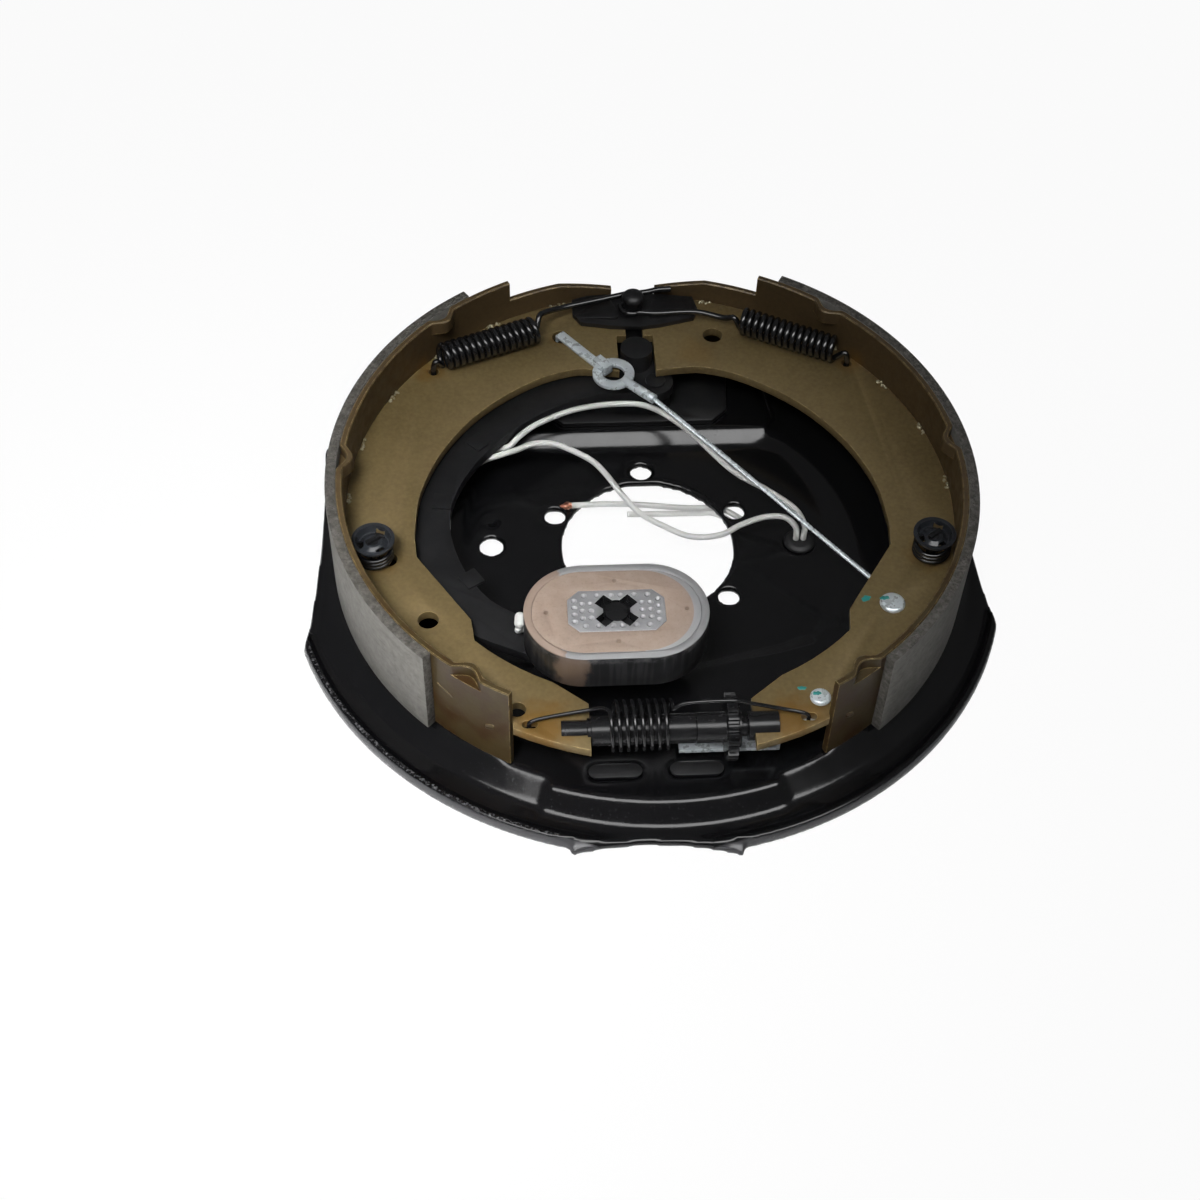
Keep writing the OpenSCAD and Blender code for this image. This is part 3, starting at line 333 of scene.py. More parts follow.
def make_worn_edge():
    """A mask that is 1 where an edge is rubbed, broken up by noise."""
    tree, given, out = group("worn_edge", {"Size": 0.0006, "Amount": 1.0, "Scale": 300.0}, ["Mask"])
    turned = add(tree, "ShaderNodeBevel", {"Radius": given["Size"]}, samples=4).outputs["Normal"]
    level = add(tree, "ShaderNodeNewGeometry").outputs["Normal"]
    edge = spread_of(tree, measure_of(tree, "DOT_PRODUCT", turned, level), 0.995, 0.86)
    broken = spread_of(tree, noise_of(tree, object_place(tree), given["Scale"], 6.0, 0.7), 0.38, 0.6)
    rubbed = sum_of(tree, "MULTIPLY", edge, broken)
    tree.links.new(sum_of(tree, "MULTIPLY", rubbed, given["Amount"], clamp=True), out["Mask"])
    return tree


def make_spot():
    """A soft blot round Centre, ragged at its edge."""
    tree, given, out = group("spot", {"Centre": (0.0, 0.0, 0.0), "Reach": 0.01}, ["Mask"])
    place = object_place(tree)
    share = sum_of(tree, "DIVIDE", measure_of(tree, "DISTANCE", place, given["Centre"]), given["Reach"])
    ragged = sum_of(tree, "MULTIPLY_ADD", noise_of(tree, place, 160.0, 5.0), 0.9, share)
    tree.links.new(spread_of(tree, ragged, 1.35, 0.6, interpolation_type="SMOOTHSTEP"), out["Mask"])
    return tree


def make_round_place():
    """The angle round the brake's axis in radians, the radius and the height of a point."""
    tree, _, out = group("round_place", {}, ["Angle", "Radius", "Height"])
    at = split_of(tree, object_place(tree))
    tree.links.new(sum_of(tree, "ARCTAN2", at["Y"], at["X"]), out["Angle"])
    tree.links.new(measure_of(tree, "LENGTH", flat_of(tree, at)), out["Radius"])
    tree.links.new(at["Z"], out["Height"])
    return tree


GRAIN, WORN, SPOT, ROUND = make_grain(), make_worn_edge(), make_spot(), make_round_place()


class Finish:
    """A material under construction: its shader, and helpers that add effects to it."""

    def __init__(self, name, color, rough, metal=0.0, **sockets):
        self.material = bpy.data.materials.new(name)
        self.material.use_nodes = True
        self.tree = self.material.node_tree
        self.shader = self.tree.nodes["Principled BSDF"]
        self.shader.inputs["Base Color"].default_value = (*color, 1)
        self.shader.inputs["Roughness"].default_value = rough
        self.shader.inputs["Metallic"].default_value = metal
        for key, value in sockets.items():
            self.shader.inputs[key].default_value = value

    def add(self, kind, inputs=None, **settings):
        return add(self.tree, kind, inputs, **settings)

    def use(self, tree, **inputs):
        return self.add("ShaderNodeGroup", inputs, node_tree=tree).outputs

    def now(self, label):
        """What feeds a shader socket so far: a socket, or its plain value."""
        socket = self.shader.inputs[label]
        return socket.links[0].from_socket if socket.is_linked else socket.default_value

    def feed(self, label, socket):
        for earlier in list(self.shader.inputs[label].links):
            self.tree.links.remove(earlier)
        self.tree.links.new(socket, self.shader.inputs[label])

    def over(self, mask, color, rough=None, metal=None):
        """Lays another colour, roughness or metal over the finish where mask is 1."""
        mix = self.add("ShaderNodeMix", {"Factor": mask, 6: self.now("Base Color"), 7: (*color, 1)},
                       data_type="RGBA")
        self.feed("Base Color", mix.outputs[2])
        for label, value in (("Roughness", rough), ("Metallic", metal)):
            if value is not None:
                mix = self.add("ShaderNodeMix", {"Factor": mask, 2: self.now(label), 3: value},
                               data_type="FLOAT")
                self.feed(label, mix.outputs[0])

    def grain(self, scale, detail, low, high):
        return self.use(GRAIN, Scale=scale, Detail=detail, Low=low, High=high)["Value"]

    def streak(self, place, scale, roughness=0.5):
        """Noise drawn out into lines along the direction whose scale is small."""
        drawn = self.add("ShaderNodeMapping", {"Vector": place, "Scale": scale})
        return noise_of(self.tree, drawn.outputs["Vector"], 1.0, 5.0, roughness)

    def mottle(self, color, scale, amount, detail=5.0):
        self.over(self.grain(scale, detail, 0.0, amount), color)

    def uneven(self, low, high, scale, detail=4.0):
        self.feed("Roughness", self.grain(scale, detail, low, high))

    def bumpy(self, height, scale, detail, strength):
        self.relief(self.grain(scale, detail, 0.0, 1.0), height, strength)

    def relief(self, value, height, strength):
        bump = self.add("ShaderNodeBump", {"Height": value, "Distance": height * MM, "Strength": strength})
        if self.shader.inputs["Normal"].is_linked:
            self.tree.links.new(self.now("Normal"), bump.inputs["Normal"])
        self.feed("Normal", bump.outputs["Normal"])

    def worn(self, color, size, amount, scale, rough, metal):
        self.over(self.use(WORN, Size=size * MM, Amount=amount, Scale=scale)["Mask"], color, rough, metal)

    def band(self, value, low, high, fade, power=1.0):
        """A mask that is 1 where a value lies between low and high."""
        up = spread_of(self.tree, value, low - fade, low)
        down = spread_of(self.tree, value, high + fade, high)
        return sum_of(self.tree, "MULTIPLY", sum_of(self.tree, "MULTIPLY", up, down), power)

    def times(self, first, second):
        return sum_of(self.tree, "MULTIPLY", first, second, clamp=True)


# Materials

# A mask's places are in metres, and the sizes of worn edges and bumps in millimetres
DUSTY_BLACK, STEEL_GREY = (0.014, 0.014, 0.015), (0.36, 0.36, 0.37)


def plate_paint():
    """Black paint with dust in it, rubbed on the rim's lip at the left, and with a painted reflection of the
    floor down the skirt.
    """
    coat = Finish("plate_paint", (0.0035, 0.0035, 0.004), 0.2, IOR=1.42)
    coat.uneven(0.12, 0.21, 60)
    coat.bumpy(0.05, 240, 2, 0.16)
    place = coat.use(ROUND)
    specks = coat.grain(900.0, 2.0, -2.6, 1.15)
    coat.over(coat.times(specks, 0.16), (0.04, 0.04, 0.042), 0.45)
    lip = coat.times(coat.band(place["Radius"], 0.1695, 0.2, 0.0005),
                     coat.band(place["Height"], 0.0026, 0.02, 0.0005))
    rubbed = coat.times(lip, coat.grain(700.0, 8.0, -0.9, 0.9))
    left = coat.band(place["Angle"], -2.75, -1.85, 0.2)
    coat.over(coat.times(rubbed, coat.times(left, 0.8)), (0.32, 0.32, 0.335), 0.4, 0.4)
    # Painted reflection: the bottom of the outer skirt is painted greyer, standing in for the pale floor it
    # mirrors.
    floor_reflection_on_skirt = coat.times(coat.band(place["Radius"], 0.1705, 0.2, 0.0008),
                       coat.band(place["Height"], -0.02, 0.0015, 0.0006))
    coat.over(coat.times(floor_reflection_on_skirt, 0.6), (0.075, 0.075, 0.08), 0.3)
    return coat.material


def plain_finish(name, color, rough, metal=0.0, ior=1.5, uneven=None, mottles=(), worn=None, bumpy=None):
    """A material of the shared effects alone: uneven gloss, mottling, rubbed edges and fine bumps."""
    coat = Finish(name, color, rough, metal, IOR=ior)
    if uneven:
        coat.uneven(*uneven)
    for mottle in mottles:
        coat.mottle(*mottle)
    if worn:
        coat.worn(*worn)
    if bumpy:
        coat.bumpy(*bumpy)
    return coat.material


def black_steel(name, color, low, high, wear):
    return plain_finish(name, color, 0.42, 0.0, 1.36, (low, high, 150), [(DUSTY_BLACK, 90, 0.6)],
                        ((0.12, 0.12, 0.13), 0.5, wear, 500, 0.4, 0.6), (0.06, 700, 3, 0.3))


# The middle of each brown stain on the shoes, its reach in millimetres and its strength
STAINS = [((-104, 90, 36), 12, 0.8), ((108, 90, 36), 11, 0.6), ((-129, -32, 36), 17, 0.55),
          ((128, -38, 36), 17, 0.5), ((-54, -128, 36), 20, 1.0), ((52, -128, 36), 19, 1.0),
          ((-62, -127, 36), 9, 0.7), ((64, -124, 36), 11, 0.7), ((-38, 112, 36), 8, 0.6),
          ((30, 100, 36), 16, 0.35), ((-95, -126, 36), 12, 0.7), ((-84, -132, 20), 14, 0.9),
          ((84, -132, 20), 13, 0.8)]


def shoe_bronze(name, color, metal, shaded_ends=False):
    """The shoes' stained wash, with dark, streaky painted shade on the ends by the adjuster where it is asked
    for.
    """
    coat = Finish(name, color, 0.46, metal, IOR=1.4)
    coat.uneven(0.34, 0.52, 180)
    coat.mottle(tuple(0.7 * c for c in color), 26, 0.7, 3.0)
    coat.mottle(tuple(1.4 * c for c in color), 520, 0.4, 2.0)
    for centre, reach, share in STAINS:
        mask = coat.use(SPOT, Centre=tuple(c * MM for c in centre), Reach=reach * MM)["Mask"]
        coat.over(coat.times(mask, share * 0.8), (0.17, 0.085, 0.012), 0.5)
    if shaded_ends:
        # Painted shade: the ends by the adjuster are darkened, with darker streaks.
        ends = coat.band(coat.use(ROUND)["Angle"], -2.6, -0.5, 0.15)
        coat.over(coat.times(ends, 0.8), (0.046, 0.031, 0.010), 0.46)
        end_shade_streaks = coat.grain(70.0, 4.0, -1.0, 1.6)
        coat.over(coat.times(ends, end_shade_streaks), (0.040, 0.019, 0.005), 0.38)
    # Rubbed edges in bright gold: partly wear, partly a painted highlight along the edges.
    coat.worn((0.60, 0.44, 0.19), 0.6, 0.9, 260, 0.42, 0.35)
    coat.bumpy(0.08, 380, 3, 0.35)
    return coat.material


def friction_lining():
    """The worked outer face of a lining, streaked along its arc."""
    coat = Finish("friction_lining", (0.145, 0.139, 0.124), 0.85, IOR=1.4)
    place = coat.use(ROUND)
    unrolled = coat.add("ShaderNodeCombineXYZ", {"X": place["Angle"], "Y": place["Radius"],
                                                 "Z": place["Height"]})
    streak = coat.streak(unrolled.outputs["Vector"], (14, 900, 900), 0.6)
    coat.over(coat.band(streak, 0.54, 1.0, 0.1, 0.7), (0.115, 0.11, 0.10))
    coat.mottle((0.26, 0.255, 0.235), 240, 0.4)
    chips = coat.grain(700.0, 2.0, -2.2, 1.3)
    coat.over(coat.times(chips, 0.3), (0.10, 0.095, 0.09))
    coat.relief(streak, 0.35, 0.5)
    coat.bumpy(0.2, 500, 4, 0.5)
    return coat.material


def magnet_steel():
    """The magnet's case: a dark drawn wall under a ground rim, the rim brown with resin at the left end, and
    the wall there with a brown painted reflection.
    """
    coat = Finish("magnet_steel", (0.34, 0.34, 0.345), 0.46, 0.5, IOR=1.7)
    wall_top, rim_low = 0.0531, 0.0533
    place = object_place(coat.tree)
    at = split_of(coat.tree, place)
    streak = coat.streak(place, (520, 520, 26))
    wall = coat.band(at["Z"], 0.0, wall_top, 0.0005)
    coat.over(coat.times(wall, 0.96), (0.02, 0.02, 0.022), 0.28)
    coat.over(coat.times(coat.band(streak, 0.55, 1.0, 0.1, 0.7), wall), (0.07, 0.07, 0.073), 0.4)
    # A paler, patchy band along the top of the wall, under the rim.
    pale_top_band = coat.band(at["Z"], 0.0508, rim_low, 0.0012, 0.6)
    coat.over(coat.times(pale_top_band, coat.grain(150.0, 6.0, -0.6, 1.1)), (0.26, 0.26, 0.265), 0.45)
    ragged = sum_of(coat.tree, "ADD", coat.grain(110.0, 6.0, -0.003, 0.003), at["X"])
    # Painted reflection: a brown patch on the wall at the left end.
    painted_brown_reflection = coat.times(coat.band(ragged, -0.048, -0.038, 0.003, 0.75), wall)
    coat.over(painted_brown_reflection, (0.17, 0.118, 0.085), 0.5, 0.0)
    spilt = coat.times(coat.band(ragged, -0.2, -0.0465, 0.0012), coat.band(at["Z"], rim_low, 0.07, 0.0003))
    coat.over(spilt, (0.27, 0.195, 0.15), 0.6, 0.0)
    coat.relief(streak, 0.05, 0.4)
    return coat.material


def tan_resin():
    """The magnet's potting, ground through to steel round its right end."""
    coat = Finish("tan_resin", (0.30, 0.228, 0.182), 0.62, IOR=1.42)
    coat.mottle((0.27, 0.19, 0.145), 45, 0.7)
    coat.mottle((0.42, 0.335, 0.275), 180, 0.45)
    pits = coat.grain(800.0, 2.0, -2.6, 1.3)
    coat.over(coat.times(pits, 0.16), (0.14, 0.09, 0.06))
    low, high = (Vector(corner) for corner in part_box("magnet_potting"))
    end_radius = (high.y - low.y) / 2
    end_centre = (high.x - end_radius - 0.003, (high.y + low.y) / 2, 0.0)
    at = split_of(coat.tree, object_place(coat.tree))
    far = measure_of(coat.tree, "DISTANCE", flat_of(coat.tree, at), end_centre)
    ground = coat.times(coat.band(far, end_radius - 0.0001, 1.0, 0.0003),
                        coat.band(at["X"], end_centre[0], 1.0, 0.0006))
    coat.over(ground, STEEL_GREY, 0.5, 0.4)
    coat.bumpy(0.12, 260, 4, 0.4)
    return coat.material


PLATE, LINING, MAGNET, RESIN = plate_paint(), friction_lining(), magnet_steel(), tan_resin()
BRONZE = shoe_bronze("shoe_bronze", (0.18, 0.13, 0.057), 0.35)
# The tables' bronze is a darker copy of the webs' bronze: painted shade on the tables' upright faces.
SHADED_TABLE_BRONZE = shoe_bronze("table_bronze", (0.078, 0.051, 0.023), 0.1, shaded_ends=True)
BLACK = black_steel("black_steel", (0.006, 0.006, 0.0065), 0.34, 0.52, 0.18)
TIP_BLACK = black_steel("adjuster_black", (0.008, 0.008, 0.0085), 0.2, 0.28, 0.15)
# The cups' black steel is painted lighter and bluish: a painted sheen.
CUP_BLACK_WITH_SHEEN = black_steel("cup_black", (0.024, 0.027, 0.032), 0.12, 0.24, 0.5)
SPRING = plain_finish("spring_black", (0.005, 0.005, 0.0055), 0.2, ior=1.55, uneven=(0.13, 0.24, 400),
                      mottles=[(DUSTY_BLACK, 200, 0.5)])
# The rough sawn faces of a lining, round its worked outer face
LINING_END = plain_finish("lining_end", (0.085, 0.078, 0.068), 0.95, ior=1.35, bumpy=(0.7, 420, 6, 0.9),
                          mottles=[((0.20, 0.19, 0.17), 330, 0.75), ((0.025, 0.023, 0.02), 600, 0.7)])
ZINC = plain_finish("zinc_plate", (0.68, 0.74, 0.765), 0.36, 0.4, 1.8, (0.22, 0.36, 260),
                    [((0.50, 0.54, 0.565), 130, 0.5)], bumpy=(0.05, 500, 4, 0.4))
STEEL = plain_finish("ground_steel", STEEL_GREY, 0.5, 0.5, 1.7, (0.42, 0.6, 300, 6.0),
                     [((0.28, 0.28, 0.285), 90, 0.5)], ((0.7, 0.7, 0.7), 0.4, 0.8, 600, 0.3, 0.9),
                     (0.06, 900, 4, 0.5))
WHITE = plain_finish("white_insulation", (0.60, 0.605, 0.59), 0.5, ior=1.38, uneven=(0.44, 0.6, 200),
                     mottles=[((0.62, 0.615, 0.58), 80, 0.25)])
COPPER = plain_finish("bare_copper", (0.70, 0.30, 0.19), 0.32, 1.0, mottles=[((0.85, 0.52, 0.40), 900, 0.8)])
RUBBER = plain_finish("soft_black", (0.006, 0.006, 0.0065), 0.55, ior=1.4, bumpy=(0.06, 700, 3, 0.4),
                      mottles=[(DUSTY_BLACK, 120, 0.6)])
WELD = plain_finish("weld_metal", (0.42, 0.39, 0.27), 0.35, 0.6, 1.6,
                    mottles=[((0.16, 0.13, 0.06), 900, 0.8)])
TEAL = plain_finish("teal_paint", (0.012, 0.27, 0.24), 0.38, ior=1.46,
                    mottles=[((0.02, 0.19, 0.17), 600, 0.7)])


# Cords behind the plate

LEAD_R, LEAD_STEPS, TAIL_Z = 1.45, 8, -3.5
GROMMET, OUTLET, CLEAR = (74.0, -1.0), 7.62, 11.6
FOOT_A, FOOT_A2, FOOT_B, FOOT_B2 = (point_round(GROMMET, radius, angle, TAIL_Z)
                                    for angle in (160, 195) for radius in (OUTLET, CLEAR))
TAIL_A = [FOOT_A, FOOT_A2, (58, 9, TAIL_Z), (48, 22, TAIL_Z), (38, 29.2, TAIL_Z), (29, 29.8, TAIL_Z),
          (24, 29.7, -3.3), (16, 29.2, -1.9), (0, 28.2, 1.6), (-18, 27, 4.4), (-36, 25, 6.2)]
TAIL_B = [FOOT_B, FOOT_B2, (54, 3, TAIL_Z), (46, 17, TAIL_Z), (36, 25.6, TAIL_Z), (27, 26.3, TAIL_Z),
          (18, 26.2, -3.3), (8, 26, -2.9), (-8, 26, -2.6)]


def bare_strands(end, ahead):
    """A frayed, curled bunch of bare copper strands out of a lead's cut end."""
    strands, steps, strand_radius, set_back = 26, 9, 0.19, 0.4
    bm = bmesh.new()
    ahead = ahead.normalized()
    side = ahead.orthogonal().normalized()
    other = ahead.cross(side)
    for k in range(strands):
        spin = 2.4 * k
        out = 0.28 * sqrt(k)
        reach = 4.2 + 2.2 * ((k * 7) % 11) / 11
        curl = 1.1 + 0.9 * ((k * 5) % 7) / 7
        line = []
        for i in range(steps + 1):
            along = i / steps
            swing = spin + curl * 2.6 * along
            bulge = 0.75 + 0.75 * sin(pi * min(1.0, along * 0.9))
            r = out * bulge * (1 if along < 0.5 else 1.5 - along)
            line.append(end + ahead * (reach * along - set_back)
                        + r * (cos(swing) * side + sin(swing) * other))
        sweep_into(bm, line, strand_radius, sides=6)
    return mesh_piece("tail_strands", bm)


def tail_leads():
    for node, route in (("tail_lead_a", TAIL_A), ("tail_lead_b", TAIL_B)):
        line = smooth_line(route, LEAD_STEPS)
        piece = wire(node + "_cover", line, LEAD_R, sides=16)
        stand_for(piece, node, WHITE)
        extras = []
        if node == "tail_lead_a":
            extras = [bare_strands(line[-1], line[-1] - line[-2])]
            stand_for(extras[0], "tail_lead_a_strands", COPPER)


tail_leads()


# Plate and plain fittings

# In millimetres: 1.4 puts the plate over 200,000 triangles
PLATE_MESH = 1.55


def pressed_plate():
    """The backing plate with the soft radii of a pressing."""
    obj = merged_copy("backing_plate", "pressed_backing_plate")
    even = obj.modifiers.new("even mesh", "REMESH")
    even.mode = "VOXEL"
    even.voxel_size = PLATE_MESH * MM
    relax = obj.modifiers.new("soft corners", "SMOOTH")
    relax.factor = 0.5
    relax.iterations = 4
    apply_modifiers(obj)
    obj.data.shade_smooth()
    stand_for(obj, "backing_plate", PLATE)


pressed_plate()

# Each piece's finish and the radius of its edges in millimetres
ROUNDED = {
    "anchor_stiffener": (BLACK, 0.8), "anchor_post": (BLACK, 0.4), "shoe_guide_plate": (BLACK, 0.7),
    "lead_grommet": (RUBBER, 0.5), "adjusting_slot_plugs": (RUBBER, 0.3),
    "primary_web": (BRONZE, 0.45), "secondary_web": (BRONZE, 0.45),
    "primary_hold_down_pin": (TIP_BLACK, 0.3), "secondary_hold_down_pin": (TIP_BLACK, 0.3),
    "primary_hold_down_cup": (CUP_BLACK_WITH_SHEEN, 0.25), "secondary_hold_down_cup": (CUP_BLACK_WITH_SHEEN, 0.25),
    "adjuster_nut": (TIP_BLACK, 0.35), "star_wheel_screw": (TIP_BLACK, 0.25),
    "thrust_washer": (TIP_BLACK, 0.15), "adjuster_socket": (TIP_BLACK, 0.35),
    "lever_pivot_stud": (BLACK, 0.4), "lever_arm": (BLACK, 0.6),
    "magnet_potting": (RESIN, 0.3), "magnet_case": (MAGNET, 0.35),
    "magnet_retaining_clip": (BLACK, 0.25), "cable_strap": (ZINC, 0.35), "cable_eye": (ZINC, 0.4),
    "cable_guide": (TIP_BLACK, 0.3), "cable_guide_rivet": (ZINC, 0.4), "pawl_rivet": (ZINC, 0.4),
    "pawl_lever": (ZINC, 0.3),
}
for node, (finish, edge) in ROUNDED.items():
    stand_for(rounded_copy(node, "edged_" + node, edge), node, finish)


def linings():
    """Linings with a worked outer face and sawn ends and sides."""
    for node in ("primary_lining", "secondary_lining"):
        obj = rounded_copy(node, "edged_" + node, 0.5)
        stand_for(obj, node, LINING)
        obj.data.materials.append(LINING_END)
        for face in obj.data.polygons:
            outward = Vector((face.center.x, face.center.y, 0)).normalized()
            if abs(face.normal.dot(outward)) < 0.5:
                face.material_index = 1


linings()


# Shoe tables

# Heights and radii in millimetres, angles in degrees from level
SHOE_Z, SHOE_TOP, TABLE_IN, TABLE_OUT, LOW_A = 8.3, 59.1, 143.6, 146.6, -61.5
STEP_Z, STEP_A, SLOPE_A, SLOPE_DROP = 48.0, 64.0, 75.0, 6.5
NIB_LOW, NIB_HALF, NIB_PUSH = 6.2, 8.0, 4.2


def table_top(angle, end_a):
    """The height of the table's edge: level, then a step down and a slope to the anchor."""
    if angle < STEP_A:
        return SHOE_TOP
    run = TABLE_OUT * sin(radians(end_a - SLOPE_A)) + 1
    return STEP_Z - SLOPE_DROP * max(0.0, TABLE_OUT * sin(radians(angle - SLOPE_A))) / run


def nib_push(angle, nibs):
    """How far the table's edge is pressed inwards at an angle, in millimetres."""
    push = 0.0
    for centre in nibs:
        along = radians(angle - centre) * TABLE_OUT / NIB_HALF
        if abs(along) < 1:
            push = max(push, NIB_PUSH * (1 - along * along) ** 1.5)
    return push


def vertex_round(bm, side, radius, turn, z):
    """A vertex at a turn in radians round the brake's axis, on the left where side is -1."""
    return bm.verts.new((side * radius * cos(turn) * MM, radius * sin(turn) * MM, z * MM))


def shoe_table(node, end_a, nibs, side):
    """A bent steel table: its edge is pressed inwards over a slit at each nib."""
    angles = {LOW_A, end_a, STEP_A - 0.01, STEP_A + 0.01, SLOPE_A}
    angles |= {LOW_A + (end_a - LOW_A) * i / 120 for i in range(121)}
    for centre in nibs:
        angles |= {centre + 0.25 * k for k in range(-16, 17)}
    corner = 0.45
    bm = bmesh.new()
    rings = []
    for angle in sorted(a for a in angles if LOW_A <= a <= end_a):
        top = table_top(angle, end_a)
        push = nib_push(angle, nibs)
        r0, r1 = TABLE_IN - push, TABLE_OUT - push
        slit = top - NIB_LOW
        under = slit - (1.0 if push > 0 else 0.0)
        profile = [(TABLE_OUT - corner, SHOE_Z), (TABLE_OUT, SHOE_Z + corner), (TABLE_OUT, slit - 0.02),
                   (r1, slit), (r1, top - corner), (r1 - corner, top), (r0 + corner, top), (r0, top - corner),
                   (r0, under - 0.02), (TABLE_IN, under - 0.04), (TABLE_IN, SHOE_Z + corner),
                   (TABLE_IN + corner, SHOE_Z)]
        rings.append([vertex_round(bm, side, r, radians(angle), z) for r, z in profile])
    skin(bm, rings)
    stand_for(mesh_piece("bent_" + node, bm, 34), node, SHADED_TABLE_BRONZE)


def raised_mark(name, body, side, angle, length, height, z, slope, out=0.35):
    """A long low ridge pressed out of the bare end of a table."""
    lengthways, across_steps, sunk = 12, 8, 0.15
    bm = bmesh.new()
    rings = []
    for i in range(lengthways + 1):
        along = (i / lengthways - 0.5) * length
        taper = sqrt(max(0.0, 1 - (2 * i / lengthways - 1) ** 6))
        turn = radians(angle) + along / TABLE_OUT
        ring = []
        for k in range(across_steps + 1):
            across = (k / across_steps - 0.5) * height * taper
            r = TABLE_OUT + out * sin(pi * k / across_steps) * taper - sunk
            ring.append(vertex_round(bm, side, r, turn, z + across + slope * along))
        rings.append(ring)
    skin(bm, rings, capped=False)
    bmesh.ops.remove_doubles(bm, verts=bm.verts, dist=1e-6)
    ride_on(mesh_piece(name, bm, 50), body, SHADED_TABLE_BRONZE)


shoe_table("primary_table", 85.9, (47.5, 4.8, -53), -1)
shoe_table("secondary_table", 85.2, (48, 5.7, -55), 1)
for side, word in ((-1, "primary"), (1, "secondary")):
    raised_mark(word + "_table_bar", word + "_shoe", side, -48.2, 10, 2.6, 38, 0.35)
    raised_mark(word + "_table_stud", word + "_shoe", side, -57.6, 5, 4.2, 30, -0.4, 0.7)


# Repeated details, by geometry nodes

def tree_of(name, inputs):
    """A geometry nodes tree, whose inputs each have a number or else the name of their kind."""
    tree = bpy.data.node_groups.new(name, "GeometryNodeTree")
    kinds = {float: "NodeSocketFloat", int: "NodeSocketInt"}
    for label, value in inputs.items():
        kind = kinds.get(type(value), value)
        socket = tree.interface.new_socket(label, in_out="INPUT", socket_type=kind)
        if kind != value:
            socket.default_value = value
    tree.interface.new_socket("Geometry", in_out="OUTPUT", socket_type="NodeSocketGeometry")
    return tree, tree.nodes.new("NodeGroupInput").outputs, tree.nodes.new("NodeGroupOutput").inputs


def grow(obj, tree, **values):
    """Runs a geometry nodes tree on an object and keeps its result as plain mesh."""
    modifier = obj.modifiers.new(tree.name, "NODES")
    modifier.node_group = tree
    for item in tree.interface.items_tree:
        if item.item_type == "SOCKET" and item.in_out == "INPUT" and item.name in values:
            modifier[item.identifier] = values[item.name]
    obj.update_tag()
    return apply_modifiers(obj)


def finish_tree(tree, last, label, given, out):
    """Ends a tree with its material."""
    done = add(tree, "GeometryNodeSetMaterial", {"Geometry": last.outputs[label],
                                                 "Material": given["Material"]})
    tree.links.new(done.outputs["Geometry"], out["Geometry"])


def weld_spot_tree():
    """Clusters of small uneven beads of weld at even steps along an arc round the brake's axis."""
    tree, given, out = tree_of("weld_spots", {
        "Radius": 0.14, "Height": 0.036, "First": 0.0, "Step": 0.25, "Spots": 5, "Beads": 6,
        "Spread": 0.012, "Size": 0.001, "Material": "NodeSocketMaterial"})

    def sum_here(kind, *values):
        return sum_of(tree, kind, *values)

    def random_of(index, seed):
        inputs = {"ID": index, "Seed": seed}
        return add(tree, "FunctionNodeRandomValue", inputs, data_type="FLOAT").outputs[1]

    row = add(tree, "GeometryNodeMeshLine", {"Count": sum_here("MULTIPLY", given["Spots"], given["Beads"])})
    index = add(tree, "GeometryNodeInputIndex").outputs["Index"]
    spot = sum_here("FLOOR", sum_here("DIVIDE", index, given["Beads"]))
    stray = sum_here("SUBTRACT", random_of(index, 7), 0.5)
    turn = sum_here("ADD", sum_here("MULTIPLY_ADD", spot, given["Step"], given["First"]),
                    sum_here("MULTIPLY", stray, given["Spread"]))
    radius = sum_here("MULTIPLY_ADD", random_of(index, 9), -0.0016, given["Radius"])
    place = add(tree, "ShaderNodeCombineXYZ", {"X": sum_here("MULTIPLY", radius, sum_here("COSINE", turn)),
                                               "Y": sum_here("MULTIPLY", radius, sum_here("SINE", turn)),
                                               "Z": given["Height"]})
    moved = add(tree, "GeometryNodeSetPosition", {"Geometry": row.outputs["Mesh"],
                                                  "Position": place.outputs["Vector"]})
    bead = add(tree, "GeometryNodeMeshIcoSphere", {"Radius": given["Size"], "Subdivisions": 2})
    rough = add(tree, "ShaderNodeTexNoise", {"Scale": 1400.0, "Detail": 3.0})
    centred = add(tree, "ShaderNodeVectorMath", {0: rough.outputs["Color"], 1: (0.5, 0.5, 0.5)},
                  operation="SUBTRACT")
    shove = add(tree, "ShaderNodeVectorMath", {0: centred.outputs["Vector"], "Scale": 0.001},
                operation="SCALE")
    shaped = add(tree, "GeometryNodeSetPosition", {"Geometry": bead.outputs["Mesh"],
                                                   "Offset": shove.outputs["Vector"]})
    spin = add(tree, "FunctionNodeRandomValue", {1: (6.2, 6.2, 6.2), "Seed": 3}, data_type="FLOAT_VECTOR")
    size = add(tree, "FunctionNodeRandomValue", {0: (0.5, 0.5, 0.4), 1: (1.8, 1.8, 1.0), "Seed": 5},
               data_type="FLOAT_VECTOR")
    stuck = add(tree, "GeometryNodeInstanceOnPoints", {
        "Points": moved.outputs["Geometry"], "Instance": shaped.outputs["Geometry"],
        "Rotation": spin.outputs["Value"], "Scale": size.outputs["Value"]})
    finish_tree(tree, add(tree, "GeometryNodeRealizeInstances", {"Geometry": stuck.outputs["Instances"]}),
                "Geometry", given, out)
    return tree


